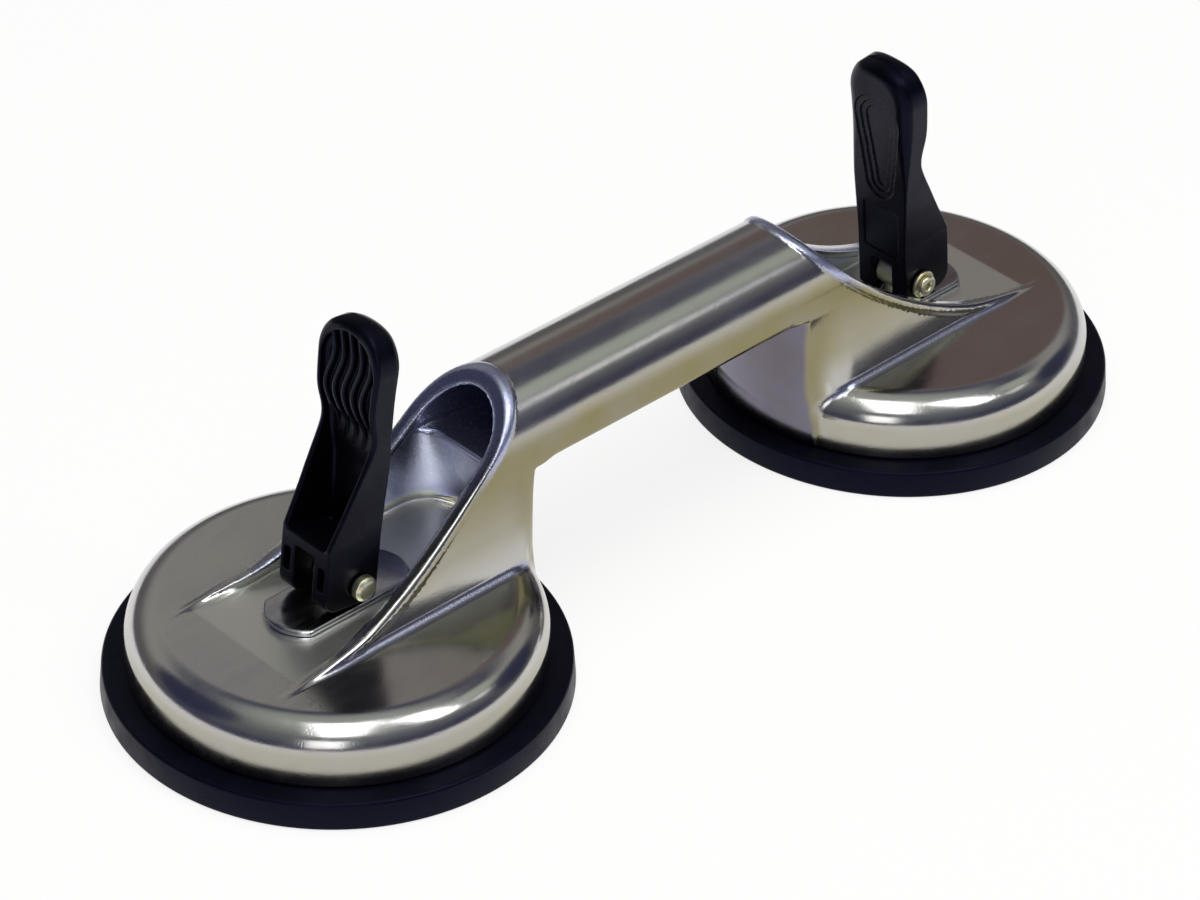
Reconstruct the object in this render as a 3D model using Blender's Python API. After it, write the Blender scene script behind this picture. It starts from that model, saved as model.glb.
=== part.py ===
"""Double suction cup lifter: two vacuum cups with cam levers on one cast aluminium handle.

The origin lies on the sealing plane, midway between the cups. +X runs along the handle and
+Z points up. Each head is modelled in its own frame, with +X pointing outward, away from
the handle, and the two heads are half a turn apart. The levers stand released, as photographed.
"""

import math

import bmesh
import bpy
from mathutils import Matrix, Vector

MM = 0.001

# Whole object
CUP_PITCH = 202.0 * MM
FIT_GAP = 0.3 * MM
CUTTER_MARGIN = 2.0 * MM
TOUCHING = 0.01 * MM

# Rubber pad
PAD_RADIUS = 60.0 * MM
PAD_RIM_HEIGHT = 7.8 * MM
PAD_SIDE_TAPER = 0.7 * MM
PAD_EDGE = 0.7 * MM
PAD_LAND_WIDTH = 15.0 * MM
PAD_RECESS = 1.0 * MM
PAD_WEB = 3.0 * MM
PAD_LIP_HEIGHT = 3.0 * MM
PAD_LIP_WIDTH = 3.0 * MM

# Dome of the casting
DOME_RADIUS = 53.3 * MM
DOME_TOP = 25.0 * MM
DOME_CROWN = 0.3 * MM
SHOULDER_RADIUS = 9.0 * MM
FOOT_HEIGHT = 3.2 * MM
FOOT_STEP = 1.0 * MM
CASTING_WALL = 3.0 * MM

# Handle of the casting
HANDLE_HALF_WIDTH = 16.0 * MM
HANDLE_ARCH_CENTRE = 54.0 * MM
HANDLE_UNDERSIDE = 48.0 * MM
HANDLE_CORNER = 3.0 * MM

# Hood of the casting, on each head
HOOD_FLARE = 6.0 * MM
HOOD_FOOT_TUCK = 2.3 * MM
HOOD_FACE_PROUD = 0.3 * MM
HOOD_FACE_LEAN = 1.0 * MM
HOOD_EDGE_SETBACK = 4.2 * MM
HOOD_EDGE_LEAST = 0.2 * MM
HOOD_CORNER_RUN = 12.0 * MM
MOUTH_RADIUS = 125.6 * MM
MOUTH_TIP = 28.0 * MM
MOUTH_SINK = 1.0 * MM
MOUTH_OVERRUN = math.radians(8.0)
MOUTH_CROWN = 50.0 * MM
BEAD_RADIUS = 1.8 * MM
BEAD_PROUD = 0.9 * MM
POCKET_DEPTH = 51.0 * MM
POCKET_OVERHANG = 10.0 * MM
POCKET_ROUND = 20.0 * MM
POCKET_ROUND_TOP = 6.0 * MM

# Saddle plate and its seat
SEAT_RISE = 0.5 * MM
SEAT_MARGIN = 0.5 * MM
SADDLE_THICKNESS = 1.5 * MM
SADDLE_HALF_WIDTH = 9.0 * MM
SADDLE_CORNER = 16.0 * MM
SADDLE_BULGE = 4.8 * MM
SADDLE_EDGE = 0.6 * MM

# Lever, in its own frame: the pivot is the origin, +X is its front, +Z runs to its tip
LEVER_LEAN = math.radians(6.5)
LEVER_SOLE = 5.5 * MM
LEVER_BACK = 5.9 * MM
LEVER_FRONT = 11.2 * MM
LEVER_LENGTH = 74.0 * MM
LEVER_FOOT_WIDTH = 18.3 * MM
LEVER_GRIP_WIDTH = 20.6 * MM
HEEL_RADIUS = 1.2 * MM
KNEE_HEIGHT = 14.5 * MM
NECK_HEIGHT = 41.0 * MM
NECK_FRONT = 0.8 * MM
SHIN_HOLLOW = 0.6 * MM
GRIP_HEIGHT = 52.0 * MM
GRIP_FRONT = 2.6 * MM
TIP_RADIUS = 3.6 * MM
LEVER_EDGE = 0.9 * MM
FORK_CLEARANCE = 0.4 * MM
WEB_HEIGHT = 9.75 * MM
WEB_DROP = 3.75 * MM
WEB_THICKNESS = 3.2 * MM
FLANGE = 1.9 * MM
BACK_WALL = 2.5 * MM
TROUGH_RAMP_START = 30.0 * MM
TROUGH_RAMP_END = 45.0 * MM
GRIP_GROOVE = 2.2 * MM
TROUGH_MARGIN = 4.0 * MM
RIB_COUNT = 5
RIB_PITCH = 2.9 * MM
RIB_WIDTH = 1.2 * MM
RIB_SETBACK = 0.5 * MM
RIB_WAVE = 0.9 * MM
RIB_WAVE_LENGTH = 20.0 * MM
RIB_START = 36.0 * MM
RIB_START_SHARE = 0.35
RIB_ROOT = 1.0 * MM
WINDOW_WIDTH = 2.3 * MM
WINDOW_LOW = 1.0 * MM
WINDOW_HIGH = 7.4 * MM
WINDOW_DEPTH = 6.0 * MM
THUMB_LOW = 27.0 * MM
THUMB_HIGH = 60.0 * MM
THUMB_HALF_WIDTH = 6.6 * MM
THUMB_DEPTH = 0.8 * MM
THUMB_RING = 2.2 * MM

# Draw stud, anchor disc and locknut
STUD_RADIUS = 3.25 * MM
EYE_RADIUS = 4.9 * MM
EYE_HALF_WIDTH = 3.2 * MM
DISC_RADIUS = 40.0 * MM
DISC_THICKNESS = 2.0 * MM
DISC_BOSS_RADIUS = 7.5 * MM
DISC_BOSS_HEIGHT = 2.6 * MM
NUT_ACROSS_FLATS = 12.0 * MM
NUT_THICKNESS = 3.6 * MM
NUT_CHAMFER = 0.8 * MM

# Pivot rivet and washer
RIVET_RADIUS = 2.0 * MM
RIVET_HEAD_RADIUS = 3.4 * MM
RIVET_HEAD = 2.0 * MM
RIVET_EDGE = 0.4 * MM
RIVET_TAIL_RADIUS = 3.1 * MM
RIVET_TAIL = 1.5 * MM
RIVET_BORE_RADIUS = 1.1 * MM
RIVET_BORE_DEPTH = 3.0 * MM
WASHER_RADIUS = 3.9 * MM
WASHER_THICKNESS = 0.8 * MM

# Cam travel: the stud rises by CAM_LIFT for each radian that its lever turns
CAM_LIFT = 4.2 * MM
CAM_CLEARANCE = 0.1 * MM

# Facets
ROUND_STEPS = 44
SMALL_STEPS = 20
RIVET_STEPS = 16
BEAD_SIDES = 8
TOE_STEPS = 18
ARC_STEPS = 4
SMOOTH_ANGLE = math.radians(35.0)
SHARP_ANGLE = math.radians(40.0)

# Heights and places that follow from the sizes above
FOOT_BASE = PAD_RIM_HEIGHT + FIT_GAP
FOOT_RADIUS = DOME_RADIUS + FOOT_STEP
CAVITY_RADIUS = DOME_RADIUS - CASTING_WALL
BORE_RADIUS = STUD_RADIUS + FIT_GAP
CEILING = DOME_TOP - CASTING_WALL
WEB_TOP = PAD_RECESS + PAD_WEB
DISC_BASE = WEB_TOP + FIT_GAP
BOSS_TOP = DISC_BASE + DISC_THICKNESS + DISC_BOSS_HEIGHT
NUT_BASE = BOSS_TOP + FIT_GAP
SEAT_TOP = DOME_TOP + DOME_CROWN + SEAT_RISE
SADDLE_TOP = SEAT_TOP + FIT_GAP + SADDLE_THICKNESS
HEEL_DROP = (
    (LEVER_SOLE - HEEL_RADIUS) * math.cos(LEVER_LEAN)
    + (LEVER_BACK - HEEL_RADIUS) * math.sin(LEVER_LEAN)
    + HEEL_RADIUS
)
PIVOT_HEIGHT = SADDLE_TOP + HEEL_DROP + FIT_GAP
HOOD_HALF_WIDTH = HANDLE_HALF_WIDTH + HOOD_FLARE
FORK_HALF_GAP = EYE_HALF_WIDTH + FORK_CLEARANCE
CHEEK = LEVER_FOOT_WIDTH / 2
HALF_PITCH = CUP_PITCH / 2


def clear_scene():
    """Remove every object that the file holds."""
    for item in list(bpy.data.objects):
        bpy.data.objects.remove(item, do_unlink=True)


def material(name, colour, roughness, metallic):
    """Return a Principled material of one colour."""
    made = bpy.data.materials.new(name)
    made.use_nodes = True
    shader = made.node_tree.nodes["Principled BSDF"]
    shader.inputs["Base Color"].default_value = (*colour, 1.0)
    shader.inputs["Roughness"].default_value = roughness
    shader.inputs["Metallic"].default_value = metallic
    made.diffuse_color = (*colour, 1.0)
    return made


def finished(name, shape):
    """Return an object named name that holds the bmesh shape, with its faces pointing out."""
    bmesh.ops.recalc_face_normals(shape, faces=shape.faces)
    mesh = bpy.data.meshes.new(name)
    shape.to_mesh(mesh)
    shape.free()
    made = bpy.data.objects.new(name, mesh)
    bpy.context.scene.collection.objects.link(made)
    return made


def turned(name, outline, steps, closed=False):
    """Turn an outline of (radius, height) points about Z; unless closed, its ends lie on the axis."""
    shape = bmesh.new()
    verts = [shape.verts.new((radius, 0.0, height)) for radius, height in outline]
    edges = [shape.edges.new(pair) for pair in zip(verts, verts[1:])]
    if closed:
        edges.append(shape.edges.new((verts[-1], verts[0])))
    bmesh.ops.spin(
        shape,
        geom=verts + edges,
        axis=(0, 0, 1),
        cent=(0, 0, 0),
        angle=math.tau,
        steps=steps,
        use_merge=True,
    )
    bmesh.ops.remove_doubles(shape, verts=shape.verts, dist=TOUCHING)
    return finished(name, shape)


def prism(name, outline, travel):
    """Extrude a closed outline of 3-D points along the vector travel."""
    shape = bmesh.new()
    face = shape.faces.new([shape.verts.new(point) for point in outline])
    grown = bmesh.ops.extrude_face_region(shape, geom=[face])
    moved = [item for item in grown["geom"] if isinstance(item, bmesh.types.BMVert)]
    bmesh.ops.translate(shape, verts=moved, vec=travel)
    return finished(name, shape)


def lofted(name, rings):
    """Join rings of 3-D points, all with the same number of points, and cap both ends."""
    shape = bmesh.new()
    rows = [[shape.verts.new(point) for point in ring] for ring in rings]
    for lower, upper in zip(rows, rows[1:]):
        for index in range(len(lower)):
            after = (index + 1) % len(lower)
            shape.faces.new((lower[index], lower[after], upper[after], upper[index]))
    shape.faces.new(reversed(rows[0]))
    shape.faces.new(rows[-1])
    return finished(name, shape)


def swept(name, path, radius, sides):
    """Carry a round section along a path of 3-D points."""
    points = [Vector(point) for point in path]
    rings = []
    side = Vector((0, 0, 1))
    for index, point in enumerate(points):
        before = points[max(index - 1, 0)]
        after = points[min(index + 1, len(points) - 1)]
        along = (after - before).normalized()
        side = (side - along * side.dot(along)).normalized()
        across = along.cross(side)
        rings.append(
            [
                point + radius * (math.cos(turn) * side + math.sin(turn) * across)
                for turn in (math.tau * step / sides for step in range(sides))
            ]
        )
    return lofted(name, rings)


def combine(target, tool, operation):
    """Apply a Boolean of tool to target, and remove the tool."""
    boolean = target.modifiers.new(operation.title(), "BOOLEAN")
    boolean.operation = operation
    boolean.solver = "EXACT"
    boolean.object = tool
    apply_modifiers(target)
    bpy.data.objects.remove(tool, do_unlink=True)


def apply_modifiers(target):
    """Replace the mesh of target by its evaluated mesh, and clear its modifiers."""
    bpy.context.view_layer.update()
    evaluated = target.evaluated_get(bpy.context.evaluated_depsgraph_get())
    mesh = bpy.data.meshes.new_from_object(evaluated)
    target.modifiers.clear()
    target.data = mesh


def bevelled(target, width, segments):
    """Round the sharp edges of target."""
    bevel = target.modifiers.new("Edges", "BEVEL")
    bevel.width = width
    bevel.segments = segments
    bevel.limit_method = "ANGLE"
    bevel.angle_limit = SHARP_ANGLE
    apply_modifiers(target)


def transformed(target, matrix):
    """Move the mesh of target by matrix, and return target."""
    target.data.transform(matrix)
    return target


def arc(centre, radius, start, end, steps):
    """Points of an arc about centre, from the angle start to the angle end, in degrees."""
    turns = [math.radians(start + (end - start) * step / steps) for step in range(steps + 1)]
    return [(centre[0] + radius * math.cos(t), centre[1] + radius * math.sin(t)) for t in turns]


def spline(points, steps):
    """Points on a smooth curve through points, with steps pieces between each two."""
    ends = [points[0], *points, points[-1]]
    curve = []
    for index in range(1, len(ends) - 2):
        before, start, end, after = (Vector(p) for p in ends[index - 1:index + 3])
        for step in range(steps):
            t = step / steps
            place = (
                start
                + (end - before) * (t / 2)
                + (before * 2 - start * 5 + end * 4 - after) * (t * t / 2)
                + (start * 3 - before - end * 3 + after) * (t ** 3 / 2)
            )
            curve.append(tuple(place))
    curve.append(tuple(points[-1]))
    return curve


def side_view(outline, y=0.0):
    """Place (x, z) points in a plane across Y."""
    return [(x, y, z) for x, z in outline]


def end_view(outline, x=0.0):
    """Place (y, z) points in a plane across X."""
    return [(x, y, z) for y, z in outline]


def plan_view(outline, z=0.0):
    """Place (x, y) points at one height."""
    return [(x, y, z) for x, y in outline]


def bar(name, radius, low, high, steps):
    """A plain cylinder on the Z axis between two heights."""
    return turned(name, [(0, low), (radius, low), (radius, high), (0, high)], steps)


def pipe_outline(inner, outer, low, high):
    """Closed outline of a ring between two radii and two heights."""
    return [(inner, low), (outer, low), (outer, high), (inner, high)]


def hood_half_width(height):
    """Half-width of the hood's side walls: widest at the dome's top, tucked in above and below."""
    if height >= DOME_TOP:
        narrowing = (height - DOME_TOP) / (HANDLE_UNDERSIDE + FIT_GAP - DOME_TOP)
        return HOOD_HALF_WIDTH - HOOD_FLARE * narrowing
    return HOOD_HALF_WIDTH - HOOD_FOOT_TUCK * (DOME_TOP - height) / (DOME_TOP - FOOT_BASE)


def hood_face_radius(height):
    """Radius of the hood's curved end wall about the cup's axis; it leans out as it rises."""
    rise = (height - FOOT_BASE) / (HANDLE_UNDERSIDE - FOOT_BASE)
    return DOME_RADIUS + HOOD_FACE_PROUD + HOOD_FACE_LEAN * rise


def hood_ring(height):
    """Plan outline of the hood's solid at one height."""
    half = hood_half_width(height)
    radius = hood_face_radius(height)
    share = min(max((HANDLE_UNDERSIDE - height) / (HANDLE_UNDERSIDE - DOME_TOP), 0.0), 1.0)
    low_share = min((height - FOOT_BASE) / (DOME_TOP - FOOT_BASE), 1.0)
    edge = half - HOOD_EDGE_SETBACK * share * low_share - HOOD_EDGE_LEAST
    edge_x = math.sqrt(radius ** 2 - edge ** 2)
    corner = [
        (-edge_x + HOOD_CORNER_RUN * (1 - s), half - (half - edge) * s * s)
        for s in (step / ARC_STEPS for step in range(ARC_STEPS))
    ]
    spread = math.degrees(math.asin(edge / radius))
    end_wall = arc((0, 0), radius, 180 - spread, 180 + spread, 2 * ARC_STEPS)
    mirrored = [(x, -y) for x, y in reversed(corner)]
    start = MOUTH_TIP + 2 * BEAD_RADIUS
    return plan_view([(start, half), *corner, *end_wall, *mirrored, (start, -half)], height)


def hood_skirt():
    """The solid under the hood: drafted side walls and the curved end wall, down to the foot."""
    low = FOOT_BASE + FOOT_HEIGHT / 2
    levels = [low + (DOME_TOP - low) * step / ARC_STEPS for step in range(ARC_STEPS)]
    rise = HANDLE_ARCH_CENTRE - DOME_TOP
    levels += [DOME_TOP + rise * step / ARC_STEPS for step in range(ARC_STEPS + 1)]
    return lofted("hood_skirt", [hood_ring(level) for level in levels])


def mouth_ends():
    """The mouth's two ends in side view: its tip just under the dome's top, and its crown."""
    tip = Vector((MOUTH_TIP, DOME_TOP - MOUTH_SINK))
    crown = Vector((-MOUTH_CROWN, HANDLE_ARCH_CENTRE + HANDLE_HALF_WIDTH))
    return tip, crown


def mouth_centre():
    """Centre of the arc that the mouth is scooped by, from its tip, its crown and its radius."""
    tip, crown = mouth_ends()
    middle = (tip + crown) / 2
    chord = crown - tip
    height = math.sqrt(MOUTH_RADIUS ** 2 - (chord.length / 2) ** 2)
    normal = Vector((chord.y, -chord.x)).normalized()
    return middle + normal * height


def mouth_x(height):
    """Where the scooped mouth lies at one height."""
    centre = mouth_centre()
    return centre.x - math.sqrt(MOUTH_RADIUS ** 2 - (centre.y - height) ** 2)


def mouth_cutter():
    """Everything above the scoop, wider than the hood; its arc runs on past both ends."""
    centre = mouth_centre()
    tip, crown = (end - centre for end in mouth_ends())
    start = math.degrees(math.atan2(tip.y, tip.x) + MOUTH_OVERRUN)
    end = math.degrees(math.atan2(crown.y, crown.x) - MOUTH_OVERRUN)
    scoop = arc(centre, MOUTH_RADIUS, start, end, 6 * ARC_STEPS)
    outline = [*scoop, (PAD_RADIUS, scoop[-1][1]), (PAD_RADIUS, scoop[0][1])]
    width = 4 * HANDLE_HALF_WIDTH
    return prism("mouth_cutter", side_view(outline, -width / 2), (0, width, 0))


def arch_outline(half_width, floor, corner):
    """Closed (y, z) outline of the handle's section: round crown, upright sides, flat floor."""
    crown = arc((0, HANDLE_ARCH_CENTRE), half_width, 0, 180, 4 * ARC_STEPS)
    left = arc((corner - half_width, floor + corner), corner, 180, 270, ARC_STEPS // 2)
    right = arc((half_width - corner, floor + corner), corner, 270, 360, ARC_STEPS // 2)
    return [*crown, *left, *right]


def half_handle():
    """Half of the handle's outer solid, from the middle of the lifter into the hood."""
    reach = HALF_PITCH + mouth_x(HANDLE_UNDERSIDE) + HANDLE_HALF_WIDTH
    outline = arch_outline(HANDLE_HALF_WIDTH, HANDLE_UNDERSIDE, HANDLE_CORNER)
    return prism("housing", end_view(outline, -HALF_PITCH), (reach, 0, 0))


def tunnel_cutter():
    """The hollow through the handle, which opens into the hood."""
    half = HANDLE_HALF_WIDTH - CASTING_WALL
    outline = arch_outline(half, HANDLE_UNDERSIDE + CASTING_WALL, HANDLE_CORNER / 2)
    return prism("tunnel", end_view(outline, -CUP_PITCH), (2 * CUP_PITCH, 0, 0))


def pocket_ring(height):
    """Plan outline of the hood's pocket at one height: parallel walls and a round back."""
    half = hood_half_width(height) - CASTING_WALL
    rise = (height - DOME_TOP) / (HANDLE_UNDERSIDE + CASTING_WALL - DOME_TOP)
    back = -POCKET_DEPTH + POCKET_OVERHANG * rise
    depth = POCKET_ROUND + (POCKET_ROUND_TOP - POCKET_ROUND) * rise
    curve = arc((0, 0), 1.0, 90, 270, 2 * ARC_STEPS + 2)
    rounded_back = [(back + depth + depth * x, half * y) for x, y in curve]
    start = PAD_RADIUS
    return plan_view([(start, half), *rounded_back, (start, -half)], height)


def pocket_cutter():
    """The hollow behind the lever, from below the dome's top up into the handle's hollow."""
    low = DOME_TOP - CASTING_WALL
    high = HANDLE_UNDERSIDE + CASTING_WALL + CUTTER_MARGIN / 2
    levels = [DOME_TOP + (high - DOME_TOP) * step / ARC_STEPS for step in range(ARC_STEPS + 1)]
    return lofted("pocket", [pocket_ring(level) for level in (low, *levels)])


def rim_bead():
    """The rounded lip round the mouth, carried along the scoop's edge."""
    steps = 2 * ARC_STEPS
    arch_base = HANDLE_UNDERSIDE + FIT_GAP
    low = CEILING + BEAD_RADIUS + FIT_GAP
    rise = [low + (arch_base - low) * step / steps for step in range(steps)]
    inset = BEAD_RADIUS - BEAD_PROUD
    side = [(hood_half_width(height) - inset, height) for height in rise]
    radius = HANDLE_HALF_WIDTH - inset
    crown = arc((0, HANDLE_ARCH_CENTRE), radius, 0, 180, 4 * ARC_STEPS)
    other = [(-y, z) for y, z in reversed(side)]
    path = [(mouth_x(z), y, z) for y, z in [*side, *crown, *other]]
    return swept("rim_bead", path, BEAD_RADIUS, BEAD_SIDES)


def dome_arc(inset, steps):
    """The dome's shoulder arc, from its wall up to its top, set in from the outside by inset."""
    centre = (DOME_RADIUS - SHOULDER_RADIUS, DOME_TOP - SHOULDER_RADIUS)
    return arc(centre, SHOULDER_RADIUS - inset, 0, 90, steps)


def dome_outline():
    """Closed (radius, height) outline of the dome's wall, from its foot up and back inside.

    Its top is slightly crowned: half way out, the crown has fallen by a quarter.
    """
    foot_top = FOOT_BASE + FOOT_HEIGHT
    return [
        (FOOT_RADIUS, FOOT_BASE),
        (FOOT_RADIUS, foot_top - FOOT_STEP / 2),
        (DOME_RADIUS, foot_top),
        *dome_arc(0.0, ARC_STEPS + 2),
        (DOME_RADIUS / 2, DOME_TOP + DOME_CROWN * 3 / 4),
        (BORE_RADIUS, DOME_TOP + DOME_CROWN),
        (BORE_RADIUS, CEILING),
        *reversed(dome_arc(CASTING_WALL, ARC_STEPS - 1)),
        (CAVITY_RADIUS, FOOT_BASE),
    ]


def dome_core():
    """Cutter for the space under the middle of the dome's wall, where the hood's walls end."""
    inset = CASTING_WALL / 2
    outline = [(0, 0), (DOME_RADIUS - inset, 0), *dome_arc(inset, ARC_STEPS), (0, DOME_TOP - inset)]
    return turned("core", outline, ROUND_STEPS)


def saddle_outline(margin):
    """Plan outline of the saddle plate, grown by margin: straight sides and bulged ends."""
    half = SADDLE_HALF_WIDTH + margin
    corner = SADDLE_CORNER + margin
    bulge = SADDLE_BULGE
    radius = (half ** 2 + bulge ** 2) / (2 * bulge)
    spread = math.degrees(math.asin(min(half / radius, 1.0)))
    centre = corner + bulge - radius
    outward = arc((centre, 0), radius, -spread, spread, 2 * ARC_STEPS)
    inward = [(-x, -y) for x, y in outward]
    return [*outward, *inward]


def saddle_seat():
    """The raised pad of the casting that the saddle plate lies on, relieved round the bore."""
    base = DOME_TOP - CASTING_WALL / 2
    seat = prism("seat", plan_view(saddle_outline(SEAT_MARGIN), base), (0, 0, SEAT_TOP - base))
    relief = bar("relief", BORE_RADIUS + SEAT_MARGIN, 0, 2 * SEAT_TOP, SMALL_STEPS)
    combine(seat, relief, "DIFFERENCE")
    return seat


def half_housing():
    """One half of the casting, in its head's frame: half the handle, hood, bead, dome and seat."""
    body = half_handle()
    combine(body, hood_skirt(), "UNION")
    combine(body, mouth_cutter(), "DIFFERENCE")
    combine(body, pocket_cutter(), "DIFFERENCE")
    combine(body, dome_core(), "DIFFERENCE")
    combine(body, tunnel_cutter(), "DIFFERENCE")
    combine(body, turned("dome", dome_outline(), ROUND_STEPS, closed=True), "UNION")
    combine(body, rim_bead(), "UNION")
    combine(body, saddle_seat(), "UNION")
    return body


def housing():
    """The one-piece casting: two equal halves, half a turn apart, welded where they meet."""
    body = half_housing()
    shape = bmesh.new()
    shape.from_mesh(body.data)
    seam = [f for f in shape.faces if all(v.co.x < TOUCHING - HALF_PITCH for v in f.verts)]
    bmesh.ops.delete(shape, geom=seam, context="FACES")
    bmesh.ops.translate(shape, verts=shape.verts, vec=(HALF_PITCH, 0, 0))
    copied = bmesh.ops.duplicate(shape, geom=shape.verts[:] + shape.edges[:] + shape.faces[:])
    other = [item for item in copied["geom"] if isinstance(item, bmesh.types.BMVert)]
    bmesh.ops.rotate(shape, verts=other, cent=(0, 0, 0), matrix=Matrix.Rotation(math.pi, 3, "Z"))
    middle = [vert for vert in shape.verts if abs(vert.co.x) < TOUCHING]
    bmesh.ops.remove_doubles(shape, verts=middle, dist=TOUCHING)
    shape.to_mesh(body.data)
    shape.free()
    return body


def rubber_pad(name):
    """The cup: sealing land, shallow recess, web, thick rim and the lip inside the dome's foot."""
    lip_outer = CAVITY_RADIUS - FIT_GAP
    lip_inner = lip_outer - PAD_LIP_WIDTH
    land_inner = PAD_RADIUS - PAD_LAND_WIDTH
    top_radius = PAD_RADIUS - PAD_SIDE_TAPER
    outline = [
        (0, PAD_RECESS),
        (land_inner - PAD_RECESS, PAD_RECESS),
        (land_inner, 0),
        (PAD_RADIUS - PAD_EDGE, 0),
        (PAD_RADIUS, PAD_EDGE),
        (top_radius, PAD_RIM_HEIGHT - PAD_EDGE),
        (top_radius - PAD_EDGE, PAD_RIM_HEIGHT),
        (lip_outer, PAD_RIM_HEIGHT),
        (lip_outer, PAD_RIM_HEIGHT + PAD_LIP_HEIGHT),
        (lip_inner, PAD_RIM_HEIGHT + PAD_LIP_HEIGHT),
        (lip_inner, PAD_RIM_HEIGHT),
        (lip_inner - PAD_WEB, WEB_TOP),
        (0, WEB_TOP),
    ]
    return turned(name, outline, ROUND_STEPS)


def anchor_disc(name):
    """The steel disc on the rubber's web, with the boss that the stud screws into."""
    plate_top = DISC_BASE + DISC_THICKNESS
    outline = [
        (BORE_RADIUS, DISC_BASE),
        (DISC_RADIUS, DISC_BASE),
        (DISC_RADIUS, plate_top),
        (DISC_BOSS_RADIUS, plate_top),
        (DISC_BOSS_RADIUS, BOSS_TOP),
        (BORE_RADIUS, BOSS_TOP),
    ]
    return turned(name, outline, ROUND_STEPS // 2, closed=True)


def stud_locknut(name):
    """The thin hexagon nut on the disc's boss, with its corners turned off."""
    corner = NUT_ACROSS_FLATS / math.sqrt(3)
    flats = [(corner * math.cos(math.tau * k / 6), corner * math.sin(math.tau * k / 6)) for k in range(6)]
    nut = prism(name, plan_view(flats, NUT_BASE), (0, 0, NUT_THICKNESS))
    top = NUT_BASE + NUT_THICKNESS
    half = NUT_ACROSS_FLATS / 2
    blank = [
        (0, NUT_BASE),
        (half, NUT_BASE),
        (corner + NUT_CHAMFER, NUT_BASE + NUT_CHAMFER),
        (corner + NUT_CHAMFER, top - NUT_CHAMFER),
        (half, top),
        (0, top),
    ]
    combine(nut, turned("blank", blank, SMALL_STEPS), "INTERSECT")
    combine(nut, bar("bore", BORE_RADIUS, 0, 2 * top, SMALL_STEPS), "DIFFERENCE")
    return nut


def draw_stud(name):
    """The eye bolt: a round shank in the disc, and the flat eye that the rivet passes through."""
    stud = bar(name, STUD_RADIUS, DISC_BASE + FIT_GAP, PIVOT_HEIGHT - EYE_RADIUS / 2, SMALL_STEPS)
    quarter_turn = Matrix.Rotation(math.radians(90), 4, "X")
    lift = Matrix.Translation((0, 0, PIVOT_HEIGHT))
    eye = bar("eye", EYE_RADIUS, -EYE_HALF_WIDTH, EYE_HALF_WIDTH, SMALL_STEPS)
    combine(stud, transformed(eye, lift @ quarter_turn), "UNION")
    hole = bar("hole", RIVET_RADIUS + FIT_GAP, -CHEEK, CHEEK, RIVET_STEPS)
    combine(stud, transformed(hole, lift @ quarter_turn), "DIFFERENCE")
    return stud


def saddle_plate(name):
    """The pressed steel plate on the seat, with rounded edges and the stud's hole."""
    base = SEAT_TOP + FIT_GAP
    plate = prism(name, plan_view(saddle_outline(0.0), base), (0, 0, SADDLE_THICKNESS))
    bevelled(plate, SADDLE_EDGE, 2)
    combine(plate, bar("bore", BORE_RADIUS, 0, 2 * SADDLE_TOP, SMALL_STEPS), "DIFFERENCE")
    return plate


def lever_front(height):
    """Front face of the lever's grip at one height, on the smooth curve from knee to tip."""
    curve = spline(lever_front_points(), ARC_STEPS)
    for (low_x, low_z), (high_x, high_z) in zip(curve, curve[1:]):
        if low_z <= height <= high_z:
            share = (height - low_z) / (high_z - low_z)
            return low_x + (high_x - low_x) * share
    return curve[-1][0]


def lever_front_points():
    """Points that the front of the lever passes through, from its knee up to its tip."""
    shin = (KNEE_HEIGHT + NECK_HEIGHT) / 2
    tip = LEVER_LENGTH - TIP_RADIUS
    return [
        (LEVER_FRONT, KNEE_HEIGHT),
        ((LEVER_FRONT + NECK_FRONT) / 2 - SHIN_HOLLOW, shin),
        (NECK_FRONT, NECK_HEIGHT),
        (GRIP_FRONT, GRIP_HEIGHT),
        (2 * TIP_RADIUS - LEVER_BACK, tip),
    ]


def toe_radius():
    """Smallest toe radius that keeps the turning toe above the saddle while the stud rises.

    Turned by an angle from upright, a toe of radius r reaches down from the pivot by
    (front - r) * sin + (sole - r) * cos + r, which the rising pivot has to clear.
    """
    needed = HEEL_RADIUS
    for step in range(1, TOE_STEPS):
        turn = math.pi / 2 * step / TOE_STEPS
        square_toe = LEVER_FRONT * math.sin(turn) + LEVER_SOLE * math.cos(turn)
        room = HEEL_DROP + FIT_GAP + CAM_LIFT * (turn + LEVER_LEAN) - CAM_CLEARANCE
        needed = max(needed, (square_toe - room) / (math.sin(turn) + math.cos(turn) - 1))
    return needed


def lever_side_outline():
    """Side (x, z) outline of the lever: heel, toe, knee, neck, grip, tip and straight back."""
    heel = arc((HEEL_RADIUS - LEVER_BACK, HEEL_RADIUS - LEVER_SOLE), HEEL_RADIUS, 180, 270, 2)
    radius = toe_radius()
    toe = arc((LEVER_FRONT - radius, radius - LEVER_SOLE), radius, 270, 360, 2 * ARC_STEPS)
    front = spline(lever_front_points(), ARC_STEPS)
    tip = arc((TIP_RADIUS - LEVER_BACK, LEVER_LENGTH - TIP_RADIUS), TIP_RADIUS, 0, 180, 2 * ARC_STEPS)
    return [*heel, *toe, *front[:-1], *tip]


def lever_front_outline():
    """Front (y, z) outline of the lever: narrow foot, wider grip and a round end."""
    foot = LEVER_FOOT_WIDTH / 2
    grip = LEVER_GRIP_WIDTH / 2
    end = arc((0, LEVER_LENGTH - grip), grip, 0, 180, 3 * ARC_STEPS)
    low = -LEVER_SOLE - CUTTER_MARGIN
    return [(-foot, low), (foot, low), (foot, KNEE_HEIGHT), *end, (-foot, KNEE_HEIGHT)]


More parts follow.
